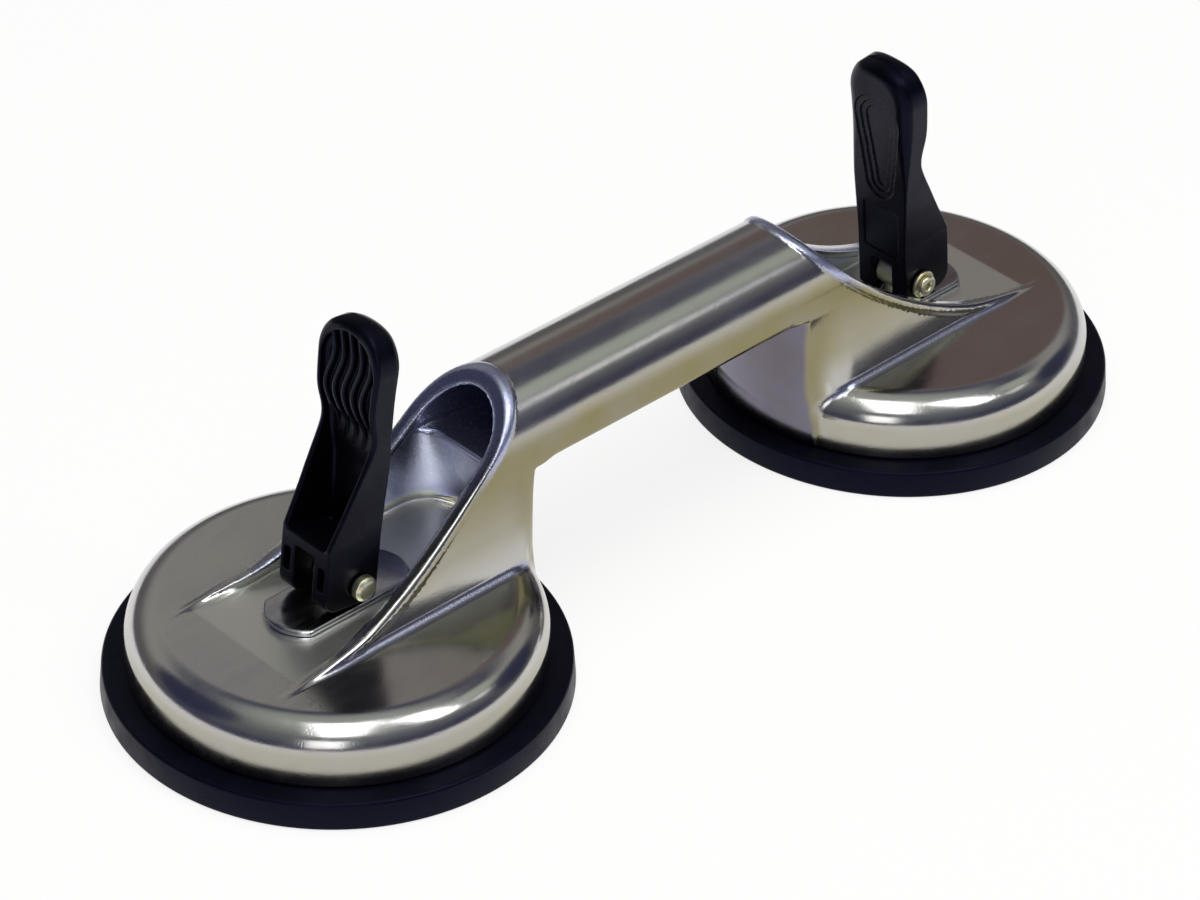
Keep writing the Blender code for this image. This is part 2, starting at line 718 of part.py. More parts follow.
def racetrack(half_width, low, high, steps):
    """Closed (y, z) outline with straight sides and round ends."""
    upper = arc((0, high - half_width), half_width, 0, 180, steps)
    lower = arc((0, low + half_width), half_width, 180, 360, steps)
    return [*upper, *lower]


def slot_cutter():
    """The fork's slot under the sloping web, open to the front, the sole and the back."""
    far = LEVER_FRONT + CUTTER_MARGIN
    near = -LEVER_BACK - CUTTER_MARGIN
    low = -LEVER_SOLE - CUTTER_MARGIN
    outline = [(near, low), (far, low), (far, WEB_HEIGHT), (near, WEB_HEIGHT - WEB_DROP)]
    return prism("slot", side_view(outline, -FORK_HALF_GAP), (0, 2 * FORK_HALF_GAP, 0))


def trough_cutter():
    """The deep trough between the flanges, which shallows into the grip and ends round."""
    far = LEVER_FRONT + CUTTER_MARGIN
    floor = BACK_WALL - LEVER_BACK
    end = LEVER_LENGTH - TROUGH_MARGIN
    web_back = WEB_HEIGHT - WEB_DROP + WEB_THICKNESS
    steps = 2 * ARC_STEPS
    heights = [TROUGH_RAMP_END + (end - TROUGH_RAMP_END) * step / steps for step in range(steps + 1)]
    grip = [(lever_front(height) - GRIP_GROOVE, height) for height in heights]
    outline = [
        (far, WEB_HEIGHT + WEB_THICKNESS),
        (floor, web_back),
        (floor, TROUGH_RAMP_START),
        *grip,
        (far, end),
    ]
    half = LEVER_GRIP_WIDTH / 2
    cutter = prism("trough", side_view(outline, -half), (0, 2 * half, 0))
    plan = racetrack(CHEEK - FLANGE, -2 * half, end, 2 * ARC_STEPS)
    guide = prism("guide", end_view(plan, floor - CUTTER_MARGIN), (2 * far, 0, 0))
    combine(cutter, guide, "INTERSECT")
    return cutter


def grip_rib(offset):
    """One wavy rib of the grip, standing in the trough up to just below the lever's front."""
    steps = 2 * ARC_STEPS + 2
    reach = LEVER_LENGTH - TROUGH_MARGIN - (CHEEK - FLANGE)
    room = math.sqrt(max((CHEEK - FLANGE) ** 2 - offset ** 2, 0.0))
    top = reach + room
    floor = BACK_WALL - LEVER_BACK - RIB_ROOT
    rings = []
    for step in range(steps + 1):
        height = RIB_START + (top - RIB_START) * step / steps
        wave = RIB_WAVE * math.sin(math.tau * (height - RIB_START) / RIB_WAVE_LENGTH)
        growth = min((height - RIB_START) / (TROUGH_RAMP_END - RIB_START), 1.0)
        share = RIB_START_SHARE + (1 - RIB_START_SHARE) * growth
        crest = floor + (lever_front(height) - RIB_SETBACK - floor) * share
        low = offset + wave - RIB_WIDTH / 2
        high = offset + wave + RIB_WIDTH / 2
        rings.append(
            [
                (floor, low, height),
                (crest - RIB_WIDTH / 3, low, height),
                (crest, offset + wave, height),
                (crest - RIB_WIDTH / 3, high, height),
                (floor, high, height),
            ]
        )
    return lofted("rib", rings)


def window_cutter(side):
    """A blind pocket in the front of one cheek."""
    centre = side * (FORK_HALF_GAP + CHEEK) / 2
    low_y = centre - WINDOW_WIDTH / 2
    outline = [
        (LEVER_FRONT - WINDOW_DEPTH, WINDOW_LOW),
        (LEVER_FRONT + CUTTER_MARGIN, WINDOW_LOW),
        (LEVER_FRONT + CUTTER_MARGIN, WINDOW_HIGH),
        (LEVER_FRONT - WINDOW_DEPTH, WINDOW_HIGH),
    ]
    return prism("window", side_view(outline, low_y), (0, WINDOW_WIDTH, 0))


def thumb_cutter(inset, depth):
    """A shallow racetrack in the lever's back, set in from the thumb recess by inset."""
    outline = racetrack(THUMB_HALF_WIDTH - inset, THUMB_LOW + inset, THUMB_HIGH - inset, ARC_STEPS + 1)
    start = -LEVER_BACK - CUTTER_MARGIN
    return prism("thumb", end_view(outline, start), (CUTTER_MARGIN + depth, 0, 0))


def lever(name):
    """The cam lever: a moulding with fork, sloping web, trough, wavy ribs and thumb recess."""
    half = LEVER_GRIP_WIDTH
    body = prism(name, side_view(lever_side_outline(), -half), (0, 2 * half, 0))
    start = -2 * LEVER_BACK
    plan = prism("plan", end_view(lever_front_outline(), start), (4 * LEVER_FRONT, 0, 0))
    combine(body, plan, "INTERSECT")
    bevelled(body, LEVER_EDGE, 2)
    combine(body, trough_cutter(), "DIFFERENCE")
    first = -RIB_PITCH * (RIB_COUNT - 1) / 2
    for index in range(RIB_COUNT):
        combine(body, grip_rib(first + RIB_PITCH * index), "UNION")
    combine(body, slot_cutter(), "DIFFERENCE")
    for side in (-1, 1):
        combine(body, window_cutter(side), "DIFFERENCE")
    combine(body, thumb_cutter(0.0, THUMB_DEPTH / 2), "DIFFERENCE")
    combine(body, thumb_cutter(THUMB_RING, THUMB_DEPTH), "DIFFERENCE")
    hole = bar("hole", RIVET_RADIUS + FIT_GAP, -2 * CHEEK, 2 * CHEEK, RIVET_STEPS)
    combine(body, transformed(hole, Matrix.Rotation(math.radians(90), 4, "X")), "DIFFERENCE")
    return body


def pivot_rivet(name):
    """Semi-tubular rivet across the lever: flat head at +Y, shank and clinched tail at -Y."""
    head_face = -CHEEK - FIT_GAP
    head_end = head_face - RIVET_HEAD
    tail_face = CHEEK + 2 * FIT_GAP + WASHER_THICKNESS
    tail_end = tail_face + RIVET_TAIL
    roll = RIVET_TAIL / 2
    outline = [
        (0, head_end),
        (RIVET_HEAD_RADIUS - RIVET_EDGE, head_end),
        (RIVET_HEAD_RADIUS, head_end + RIVET_EDGE),
        (RIVET_HEAD_RADIUS, head_face),
        (RIVET_RADIUS, head_face),
        (RIVET_RADIUS, tail_face),
        *arc((RIVET_TAIL_RADIUS - roll, tail_face + roll), roll, -90, 90, ARC_STEPS - 1),
        (RIVET_BORE_RADIUS + roll / 2, tail_end),
        (RIVET_BORE_RADIUS, tail_end - roll / 2),
        (RIVET_BORE_RADIUS, tail_end - RIVET_BORE_DEPTH),
        (0, tail_end - RIVET_BORE_DEPTH),
    ]
    rivet = turned(name, outline, RIVET_STEPS)
    return transformed(rivet, Matrix.Rotation(math.radians(90), 4, "X"))


def rivet_washer(name):
    """The washer between the lever's cheek and the rivet's tail."""
    low = CHEEK + FIT_GAP
    outline = pipe_outline(RIVET_RADIUS + FIT_GAP, WASHER_RADIUS, low, low + WASHER_THICKNESS)
    washer = turned(name, outline, RIVET_STEPS, closed=True)
    return transformed(washer, Matrix.Rotation(math.radians(90), 4, "X"))


def dress(target, finish, parent=None):
    """Give a piece its material, smooth shading and parent."""
    target.data.materials.clear()
    target.data.materials.append(finish)
    target.data.shade_smooth()
    target.data.set_sharp_from_angle(angle=SMOOTH_ANGLE)
    target.parent = parent


def empty(name, place, turn, parent=None):
    """An empty at place, turned by the matrix turn, that pieces are parented to."""
    made = bpy.data.objects.new(name, None)
    made.matrix_local = Matrix.Translation(place) @ turn
    made.parent = parent
    bpy.context.scene.collection.objects.link(made)
    return made


def build_head(side, frame, finishes):
    """Build the loose pieces of one head under the empty frame; side is near or far."""
    steel, zinc, rubber, plastic = finishes
    dress(rubber_pad(f"{side}_rubber_pad"), rubber, frame)
    dress(anchor_disc(f"{side}_anchor_disc"), steel, frame)
    dress(stud_locknut(f"{side}_stud_locknut"), zinc, frame)
    dress(draw_stud(f"{side}_draw_stud"), zinc, frame)
    dress(saddle_plate(f"{side}_saddle_plate"), steel, frame)
    lean = Matrix.Rotation(-LEVER_LEAN, 4, "Y")
    pivot = empty(f"{side}_pivot", (0, 0, PIVOT_HEIGHT), lean, frame)
    dress(lever(f"{side}_lever"), plastic, pivot)
    dress(pivot_rivet(f"{side}_pivot_rivet"), zinc, pivot)
    dress(rivet_washer(f"{side}_rivet_washer"), zinc, pivot)


def main():
    """Build the lifter."""
    clear_scene()
    dress(housing(), material("polished_aluminium", (0.62, 0.61, 0.58), 0.18, 1.0))
    finishes = (
        material("bright_steel", (0.55, 0.55, 0.56), 0.2, 1.0),
        material("yellow_zinc", (0.72, 0.62, 0.3), 0.3, 1.0),
        material("black_rubber", (0.012, 0.012, 0.016), 0.55, 0.0),
        material("black_plastic", (0.012, 0.012, 0.018), 0.4, 0.0),
    )
    half_turn = Matrix.Rotation(math.pi, 4, "Z")
    build_head("near", empty("near_head", (-HALF_PITCH, 0, 0), half_turn), finishes)
    build_head("far", empty("far_head", (HALF_PITCH, 0, 0), Matrix.Identity(4)), finishes)
    bpy.context.view_layer.update()


if __name__ == "__main__":
    main()
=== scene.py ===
"""Looks of the double suction cup lifter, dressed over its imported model.

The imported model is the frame: metres, +Z up, +X along the handle, and the origin on the
sealing plane, midway between the cups. Sizes in this file are in millimetres, and a mesh
is scaled to metres when it is made. Each head has a frame of its own, with +X pointing
outward from the handle, and the two heads are half a turn apart. A lever has a frame of
its own too: the origin on its rivet, +X to its front, and +Z to its tip.
"""

import logging
import math
from collections.abc import Callable, Sequence
from dataclasses import dataclass, field
from enum import Enum

import bpy
import numpy as np
from mathutils import Matrix, Vector


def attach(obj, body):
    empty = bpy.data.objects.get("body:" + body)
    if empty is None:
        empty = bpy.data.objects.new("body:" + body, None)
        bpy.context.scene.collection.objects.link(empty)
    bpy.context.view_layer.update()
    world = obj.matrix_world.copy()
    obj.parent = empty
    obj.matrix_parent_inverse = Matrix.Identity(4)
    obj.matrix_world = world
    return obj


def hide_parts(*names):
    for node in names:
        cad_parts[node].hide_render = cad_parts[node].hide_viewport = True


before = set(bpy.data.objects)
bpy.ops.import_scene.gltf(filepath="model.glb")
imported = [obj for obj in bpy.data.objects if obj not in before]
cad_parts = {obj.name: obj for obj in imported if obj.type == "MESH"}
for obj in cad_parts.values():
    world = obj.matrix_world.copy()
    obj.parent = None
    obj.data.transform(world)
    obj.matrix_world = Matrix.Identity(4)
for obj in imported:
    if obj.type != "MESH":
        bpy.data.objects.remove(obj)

LOG = logging.getLogger("lifter")

Array = np.ndarray
Field = Callable[[Array, Array, Array], Array]
Pair = tuple[float, float]
Triple = tuple[float, float, float]
Tones = tuple[tuple[float, Triple], ...]
Socket = bpy.types.NodeSocket

MM = 0.001
NOISE_SPAN = (0.3, 0.7)
HALF_PITCH = 101.0
PIVOT_HEIGHT = 33.904
LEVER_LEAN = math.radians(6.5)


class Head(Enum):
    """The two ends of the lifter."""

    NEAR = "near"
    FAR = "far"

    @property
    def outward(self) -> float:
        """Sign of world X on this head's outer side."""
        return -1.0 if self is Head.NEAR else 1.0

    def place(self, points: Array) -> Array:
        """Carry points from this head's frame to the world: half a turn for the near head.

        Args:
            points: Points in the head's frame, one per row.

        Returns:
            The same points in the world, in millimetres.
        """
        turned = points * np.array([self.outward, self.outward, 1.0])
        return turned + np.array([self.outward * HALF_PITCH, 0.0, 0.0])


class Unbuffed(Enum):
    """Share of the full polish that each kind of cast surface lacks."""

    INSIDE = 0.7
    TUNNEL = 0.95
    FILLET = 0.45
    RIM = 0.8
    SEAT = 0.15


def leaned(points: Array) -> Array:
    """Carry points from the lever's frame to its head's frame.

    The released lever is turned about its rivet by the lean, so that its tip moves inward.

    Args:
        points: Points in the lever's frame, one per row.

    Returns:
        The same points in the head's frame.
    """
    cos, sin = math.cos(LEVER_LEAN), math.sin(LEVER_LEAN)
    x, y, z = points.T
    return np.stack([x * cos - z * sin, y, x * sin + z * cos + PIVOT_HEIGHT], axis=1)


def in_head(points: Array) -> tuple[Array, Array, Array]:
    """Coordinates of world points in the frame of the nearer head, whose sides are alike.

    Args:
        points: World points in millimetres, one per row.

    Returns:
        The distance outward from the cup's axis, the distance across, and the height.
    """
    x, y, z = points.T
    return np.abs(x) - HALF_PITCH, y, z


# ---------------------------------------------------------------------------
# Fields: each gives a distance, negative inside the metal or the moulding
# ---------------------------------------------------------------------------


def joined(first: Array, second: Array, radius: Array | float) -> Array:
    """Union of two fields with a round fillet between them.

    The result is the smaller field, and where both are nearer than the radius, the corner
    is a circle of that radius: max(r, min(a, b)) less the length of (r - a, r - b).

    Args:
        first: Distances to the first form.
        second: Distances to the second form.
        radius: Radius of the fillet, a number or an array.

    Returns:
        Distances to the joined form.
    """
    reach = np.hypot(np.maximum(radius - first, 0.0), np.maximum(radius - second, 0.0))
    return np.maximum(radius, np.minimum(first, second)) - reach


def shared(first: Array, second: Array, radius: Array | float) -> Array:
    """Part common to two fields, with its edge rounded to a radius.

    It is the join of the two outsides, turned inside out.

    Args:
        first: Distances to the first form.
        second: Distances to the second form.
        radius: Radius of the edge, a number or an array.

    Returns:
        Distances to the common form.
    """
    return -joined(-first, -second, radius)


def eased(value: Array, low: float, high: float) -> Array:
    """Smooth step: 0 below low, 1 above high, and 3t^2 - 2t^3 between.

    Args:
        value: Where to evaluate the step.
        low: Start of the step.
        high: End of the step.

    Returns:
        Shares from 0 to 1.
    """
    share = np.clip((value - low) / (high - low), 0.0, 1.0)
    return share * share * (3.0 - 2.0 * share)


def gradient(shape: Field, points: Array, step: float = 0.02) -> Array:
    """Slope of a field at points, by central differences.

    Args:
        shape: The field.
        points: Points, one per row.
        step: Half the distance between the two samples of a difference.

    Returns:
        Slopes, one per row.
    """
    slopes = np.empty_like(points)
    for axis, shift in enumerate(np.eye(3) * step):
        ahead = shape(*(points + shift).T)
        behind = shape(*(points - shift).T)
        slopes[:, axis] = (ahead - behind) / (2.0 * step)
    return slopes


@dataclass
class Skin:
    """Closed quad mesh on the zero level of a field, found on a grid of cells.

    Each cell that the level crosses gets one point, the mean of the crossings on its twelve
    edges, and each grid edge that the level crosses gets a quad between its four cells. The
    points are then moved along the field's slope until they lie on the level, and evened
    out along it.
    """

    shape: Field
    axes: tuple[Array, Array, Array]
    even_rounds: int = 3
    points: Array = field(init=False)
    quads: Array = field(init=False)
    SETTLE_ROUNDS = 3
    FLATTEST = 0.2
    LONGEST_MOVE = 0.5
    EVENED_SHARE = 0.6

    def __post_init__(self) -> None:
        """Find the surface."""
        grids = np.meshgrid(*self.axes, indexing="ij")
        values = self.shape(*grids)
        self._find(values)
        self._settle(self.SETTLE_ROUNDS)
        for _ in range(self.even_rounds):
            self._even()
            self._settle(1)

    def _find(self, values: Array) -> None:
        """Place a point in each crossed cell and a quad on each crossed edge.

        Args:
            values: The field on the grid.
        """
        inside = values < 0.0
        count = np.zeros(tuple(size - 1 for size in values.shape), np.int8)
        long, wide, tall = count.shape
        corners = [(i, j, k) for i in (0, 1) for j in (0, 1) for k in (0, 1)]
        for i, j, k in corners:
            count += inside[i:long + i, j:wide + j, k:tall + k]
        cells = np.stack(np.nonzero((count > 0) & (count < 8)), axis=1)
        number = np.full(count.shape, -1, np.int64)
        number[tuple(cells.T)] = np.arange(len(cells))
        total = np.zeros((len(cells), 3))
        hits = np.zeros((len(cells), 1))
        for axis in range(3):
            ahead = np.eye(3, dtype=int)[axis]
            for corner in (c for c in corners if c[axis] == 0):
                start = cells + np.array(corner)
                end = start + ahead
                low, high = values[tuple(start.T)], values[tuple(end.T)]
                crossed = ((low < 0.0) != (high < 0.0))[:, None]
                gap = np.where(crossed[:, 0], low - high, 1.0)
                share = (low / gap)[:, None]
                at_start = np.stack([self.axes[n][start[:, n]] for n in range(3)], axis=1)
                at_end = np.stack([self.axes[n][end[:, n]] for n in range(3)], axis=1)
                total += np.where(crossed, at_start + (at_end - at_start) * share, 0.0)
                hits += crossed
        self.points = total / hits
        faces = []
        for axis in range(3):
            one, two = (axis + 1) % 3, (axis + 2) % 3
            moved = np.moveaxis(inside, (axis, one, two), (0, 1, 2))
            change = moved[:-1, 1:-1, 1:-1] != moved[1:, 1:-1, 1:-1]
            along, first, second = np.nonzero(change)
            cell = np.moveaxis(number, (axis, one, two), (0, 1, 2))
            quad = np.stack(
                [
                    cell[along, first, second],
                    cell[along, first + 1, second],
                    cell[along, first + 1, second + 1],
                    cell[along, first, second + 1],
                ],
                axis=1,
            )
            outward = moved[along, first + 1, second + 1]
            faces.append(np.where(outward[:, None], quad, quad[:, ::-1]))
        self.quads = np.concatenate(faces)

    def _settle(self, rounds: int) -> None:
        """Move the points along the slope onto the level.

        Args:
            rounds: How many times they are moved.
        """
        for _ in range(rounds):
            slope = gradient(self.shape, self.points)
            steep = np.maximum(np.sum(slope * slope, axis=1, keepdims=True), self.FLATTEST)
            value = self.shape(*self.points.T)[:, None]
            self.points -= np.clip(value, -self.LONGEST_MOVE, self.LONGEST_MOVE) * slope / steep

    def _even(self) -> None:
        """Move each point towards the mean of its neighbours, along the surface only."""
        pairs = np.concatenate([self.quads[:, [n, (n + 1) % 4]] for n in range(4)])
        size = len(self.points)
        weight = np.bincount(pairs.ravel(), minlength=size)
        mean = np.empty_like(self.points)
        for axis in range(3):
            column = self.points[:, axis]
            total = np.bincount(pairs[:, 0], column[pairs[:, 1]], size)
            total += np.bincount(pairs[:, 1], column[pairs[:, 0]], size)
            mean[:, axis] = total / np.maximum(weight, 1)
        shift = self.EVENED_SHARE * (mean - self.points)
        normal = self.normals()
        self.points += shift - normal * np.sum(shift * normal, axis=1, keepdims=True)

    def normals(self) -> Array:
        """Outward unit normals at the points."""
        return unit_slopes(self.shape, self.points)


# ---------------------------------------------------------------------------
# Meshes
# ---------------------------------------------------------------------------


def mesh_piece(
    name: str, points: Array, faces: Sequence, normals: Array | None = None
) -> bpy.types.Object:
    """Make a smooth-shaded object from points in millimetres.

    Args:
        name: Name of the piece.
        points: World points, one per row.
        faces: Point numbers of each face, wound so that it points outward.
        normals: Unit normals at the points, where the shape knows them exactly.

    Returns:
        The object, at the origin, with its place in its mesh.
    """
    mesh = bpy.data.meshes.new(name)
    mesh.from_pydata(points * MM, [], faces)
    mesh.validate()
    mesh.shade_smooth()
    if normals is not None:
        mesh.normals_split_custom_set_from_vertices(normals)
    piece = bpy.data.objects.new(name, mesh)
    bpy.context.scene.collection.objects.link(piece)
    return piece


def thinned(piece: bpy.types.Object, hidden: Array, keep: float) -> None:
    """Thin the mesh of a piece where nobody sees it, and leave the rest as it is.

    Args:
        piece: The piece, whose mesh is replaced.
        hidden: True for each point that may go.
        keep: Share of the hidden faces that stay.
    """
    group = piece.vertex_groups.new(name="hidden")
    group.add(np.flatnonzero(hidden).tolist(), 1.0, "REPLACE")
    thin = piece.modifiers.new("Thin", "DECIMATE")
    thin.ratio = 1.0 - (1.0 - keep) * float(hidden.mean())
    thin.vertex_group = group.name
    bpy.context.view_layer.update()
    evaluated = piece.evaluated_get(bpy.context.evaluated_depsgraph_get())
    mesh = bpy.data.meshes.new_from_object(evaluated)
    piece.modifiers.clear()
    piece.vertex_groups.clear()
    piece.data = mesh


def point_places(mesh: bpy.types.Mesh) -> Array:
    """Places of a mesh's points.

    Args:
        mesh: The mesh.

    Returns:
        The places in millimetres, one per row.
    """
    flat = np.empty(len(mesh.vertices) * 3, np.float32)
    mesh.vertices.foreach_get("co", flat)
    return flat.reshape(-1, 3).astype(float) / MM


def store(mesh: bpy.types.Mesh, name: str, values: Array) -> None:
    """Store a number on each point of a mesh.

    Args:
        mesh: The mesh.
        name: Name of the attribute.
        values: One number per point.
    """
    layer = mesh.attributes.new(name, "FLOAT", "POINT")
    layer.data.foreach_set("value", values.astype(np.float32))


def unit_slopes(shape: Field, points: Array) -> Array:
    """Outward unit normals of a field's level at points on it."""
    slope = gradient(shape, points, 0.1)
    return slope / np.maximum(np.linalg.norm(slope, axis=1, keepdims=True), 1e-9)


def grid_faces(rows: int, columns: int, rows_close: bool) -> Array:
    """Quads of a grid whose columns close into a ring.

    Point (i, j) has the number i * columns + j, and each quad joins it to the next row and
    the next column. The winding points outward where rows run up and columns run anticlockwise.

    Args:
        rows: Number of rows.
        columns: Number of columns.
        rows_close: Whether the last row joins the first.

    Returns:
        Quads, one per row.
    """
    row, column = np.mgrid[0:rows if rows_close else rows - 1, 0:columns]
    up = (row + 1) % rows
    on = (column + 1) % columns
    quads = [row * columns + column, row * columns + on, up * columns + on, up * columns + column]
    return np.stack(quads, axis=-1).reshape(-1, 4)


def rounded_profile(corners: Sequence[Triple], steps: int, closed: bool) -> Array:
    """Profile through corners, each rounded to its own radius.

    The arc at a corner touches both its sides. Its centre lies on the corner's bisector at
    radius / sin(half the angle), and its points are spread evenly over the turn.

    Args:
        corners: (across, up, radius) of each corner, in order.
        steps: Pieces of each arc.
        closed: Whether the profile closes; the ends of an open one stay sharp.

    Returns:
        (across, up) points, one per row, with no two in the same place.
    """
    data = np.array(corners, float)
    place, radius = data[:, :2], data[:, 2]
    back = np.roll(place, 1, axis=0) - place
    ahead = np.roll(place, -1, axis=0) - place
    back /= np.linalg.norm(back, axis=1, keepdims=True)
    ahead /= np.linalg.norm(ahead, axis=1, keepdims=True)
    half = np.arccos(np.clip(np.sum(back * ahead, axis=1), -1.0, 1.0)) / 2.0
    if not closed:
        radius[[0, -1]] = 0.0
    tangent = (radius / np.tan(half))[:, None]
    bisector = back + ahead
    bisector /= np.maximum(np.linalg.norm(bisector, axis=1, keepdims=True), 1e-9)
    centre = place + bisector * (radius / np.sin(half))[:, None]
    start = place + back * tangent - centre
    end = place + ahead * tangent - centre
    first = np.arctan2(start[:, 1], start[:, 0])
    turn = (np.arctan2(end[:, 1], end[:, 0]) - first + math.pi) % math.tau - math.pi
    share = np.linspace(0.0, 1.0, steps + 1)
    angle = first[:, None] + turn[:, None] * share
    arcs = radius[:, None, None] * np.stack([np.cos(angle), np.sin(angle)], axis=-1)
    profile = (centre[:, None, :] + arcs).reshape(-1, 2)
    gap = np.linalg.norm(profile - np.roll(profile, 1, axis=0), axis=1)
    keep = gap > 1e-4
    if not closed:
        keep[0] = True
    return profile[keep]


def subdivided(profile: Array, longest: float, closed: bool) -> Array:
    """Profile with no piece longer than a given length.

    Args:
        profile: (across, up) points.
        longest: Longest piece allowed.
        closed: Whether the profile closes.

    Returns:
        The profile sampled along its length, with its own points kept.
    """
    track = np.concatenate([profile, profile[:1]]) if closed else profile
    length = np.concatenate([[0.0], np.cumsum(np.linalg.norm(np.diff(track, axis=0), axis=1))])
    extra = np.arange(0.0, length[-1], longest)
    distance = np.abs(extra[:, None] - length[None, :]).min(axis=1)
    place = np.sort(np.concatenate([length, extra[distance > longest / 3.0]]))
    sampled = np.stack([np.interp(place, length, track[:, n]) for n in range(2)], axis=1)
    return sampled[:-1] if closed else sampled


def turned_points(profile: Array, columns: int) -> Array:
    """Turn a profile about the Z axis: (r cos t, r sin t, h) for each turn t.

    Args:
        profile: (radius, height) points.
        columns: Number of turns round the axis.

    Returns:
        Points in row order, one row of the grid after another.
    """
    turn = np.linspace(0.0, math.tau, columns, endpoint=False)
    radius, height = profile[:, :1], profile[:, 1:]
    level = np.broadcast_to(height, (len(profile), columns))
    ring = np.stack([radius * np.cos(turn), radius * np.sin(turn), level], axis=-1)
    return ring.reshape(-1, 3)


def turned_solid(profile: Array, columns: int) -> tuple[Array, list]:
    """Points and faces of a profile turned about Z, whose two ends lie on the axis.

    The end rows shrink to one point each, and a fan of triangles joins it to the next row.

    Args:
        profile: (radius, height) points, rising round the outside; the ends have radius 0.
        columns: Number of turns round the axis.

    Returns:
        Points, and the faces as lists.
    """
    body = turned_points(profile[1:-1], columns)
    rows = len(profile) - 2
    points = np.concatenate([body, [[0.0, 0.0, profile[0, 1]], [0.0, 0.0, profile[-1, 1]]]])
    column = np.arange(columns)
    on = (column + 1) % columns
    low, high = rows * columns, rows * columns + 1
    last = (rows - 1) * columns
    bottom = np.stack([np.full(columns, low), on, column], axis=1)
    top = np.stack([np.full(columns, high), last + column, last + on], axis=1)
    faces = grid_faces(rows, columns, False).tolist() + bottom.tolist() + top.tolist()
    return points, faces


def laid_across(points: Array) -> Array:
    """Turn points so that their Z axis lies along -Y: (x, y, z) becomes (x, -z, y).

    Args:
        points: Points, one per row.

    Returns:
        The turned points.
    """
    return points[:, [0, 2, 1]] * np.array([1.0, -1.0, 1.0])


# ---------------------------------------------------------------------------
# Finishes
# ---------------------------------------------------------------------------


class NodeKit:
    """Short calls that add nodes to a node tree."""

    def __init__(self, tree: bpy.types.NodeTree) -> None:
        """Keep the tree that the nodes go to.

        Args:
            tree: The tree.
        """
        self.tree = tree

    def put(self, socket: Socket, value: Socket | float | Sequence[float]) -> None:
        """Set a socket to a value, or link it to another node's output.

        Args:
            socket: The input.
            value: A number, a colour, a vector, or an output socket.
        """
        if isinstance(value, Socket):
            self.tree.links.new(value, socket)
        elif isinstance(value, tuple) and len(value) == 3 and socket.type == "RGBA":
            socket.default_value = (*value, 1.0)
        else:
            socket.default_value = value

    def node(self, kind: str, inputs: dict | None = None, **settings: str) -> bpy.types.Node:
        """Add a node.

        Args:
            kind: Its type, less the word ShaderNode.
            inputs: Value or output for each of its inputs, by name or number.
            **settings: Its own settings, which are made before its inputs.

        Returns:
            The node.
        """
        made = self.tree.nodes.new(f"ShaderNode{kind}")
        for key, value in settings.items():
            setattr(made, key, value)
        for key, value in (inputs or {}).items():
            self.put(made.inputs[key], value)
        return made

    def spread(
        self, value: Socket, source: Pair, target: Pair = (0.0, 1.0), easing: str = "LINEAR"
    ) -> Socket:
        """Map a value from one range to another, with its ends held.

        Args:
            value: Output to map.
            source: Its range.
            target: Results at the ends of that range.
            easing: Name of the interpolation.

        Returns:
            The mapped value.
        """
        keys = ("From Min", "From Max", "To Min", "To Max")
        inputs = {"Value": value, **dict(zip(keys, (*source, *target)))}
        return self.node("MapRange", inputs, interpolation_type=easing).outputs["Result"]

    def combined(
        self, first: Socket | float, second: Socket | float, operation: str = "ADD"
    ) -> Socket:
        """Combine two values by a Math node's operation."""
        return self.node("Math", {0: first, 1: second}, operation=operation).outputs[0]

    def blend(
        self,
        share: Socket,
        first: Socket | float | Triple,
        second: Socket | float | Triple,
        kind: str = "RGBA",
    ) -> Socket:
        """Mix two colours, or two numbers where kind is FLOAT."""
        inputs = {"Factor": share, "A": first, "B": second}
        return self.node("Mix", inputs, data_type=kind).outputs["Result"]


class Recipe(NodeKit):
    """A material under construction, on Object coordinates."""

    def __init__(self, name: str) -> None:
        """Start a material.

        Args:
            name: Name of the material.
        """
        self.material = bpy.data.materials.new(name)
        self.material.use_nodes = True
        super().__init__(self.material.node_tree)
        self.coordinates = self.node("TexCoord").outputs["Object"]

    def noise(self, scale: float, detail: float, stretch: Triple = (1.0, 1.0, 1.0)) -> Socket:
        """Fractal noise.

        Args:
            scale: Noise scale per metre.
            detail: Octaves of detail.
            stretch: Factors on the three coordinates.

        Returns:
            The noise's value, round 0.5.
        """
        mapping = self.node("Mapping", {"Vector": self.coordinates, "Scale": stretch})
        inputs = {"Vector": mapping.outputs["Vector"], "Scale": scale, "Detail": detail}
        return self.node("TexNoise", inputs).outputs["Fac"]

    def cells(self, scale: float) -> Socket:
        """Distances to the nearest of points scattered at so many per metre, for pits."""
        inputs = {"Vector": self.coordinates, "Scale": scale}
        return self.node("TexVoronoi", inputs).outputs["Distance"]

    def attribute(self, name: str) -> Socket:
        """A number stored on the mesh's points under a name."""
        return self.node("Attribute", attribute_name=name).outputs["Fac"]

    def relief(
        self, height: Socket, depth: float, strength: float, under: Socket | None = None
    ) -> Socket:
        """Bump from a height, over another bump if one is given.

        Args:
            height: Output that gives the height, from 0 to 1.
            depth: Height of 1, in metres.
            strength: Share of the bump that is used.
            under: Normal output of a coarser bump.

        Returns:
            The bumped normal.
        """
        inputs = {"Height": height, "Distance": depth, "Strength": strength}
        if under is not None:
            inputs["Normal"] = under
        return self.node("Bump", inputs).outputs["Normal"]

    def served(self, inputs: dict) -> bpy.types.Material:
        """Set the shader's inputs and hand over the material.

        Args:
            inputs: Value or output for each input, by name.

        Returns:
            The material.
        """
        for key, value in inputs.items():
            self.put(self.tree.nodes["Principled BSDF"].inputs[key], value)
        return self.material


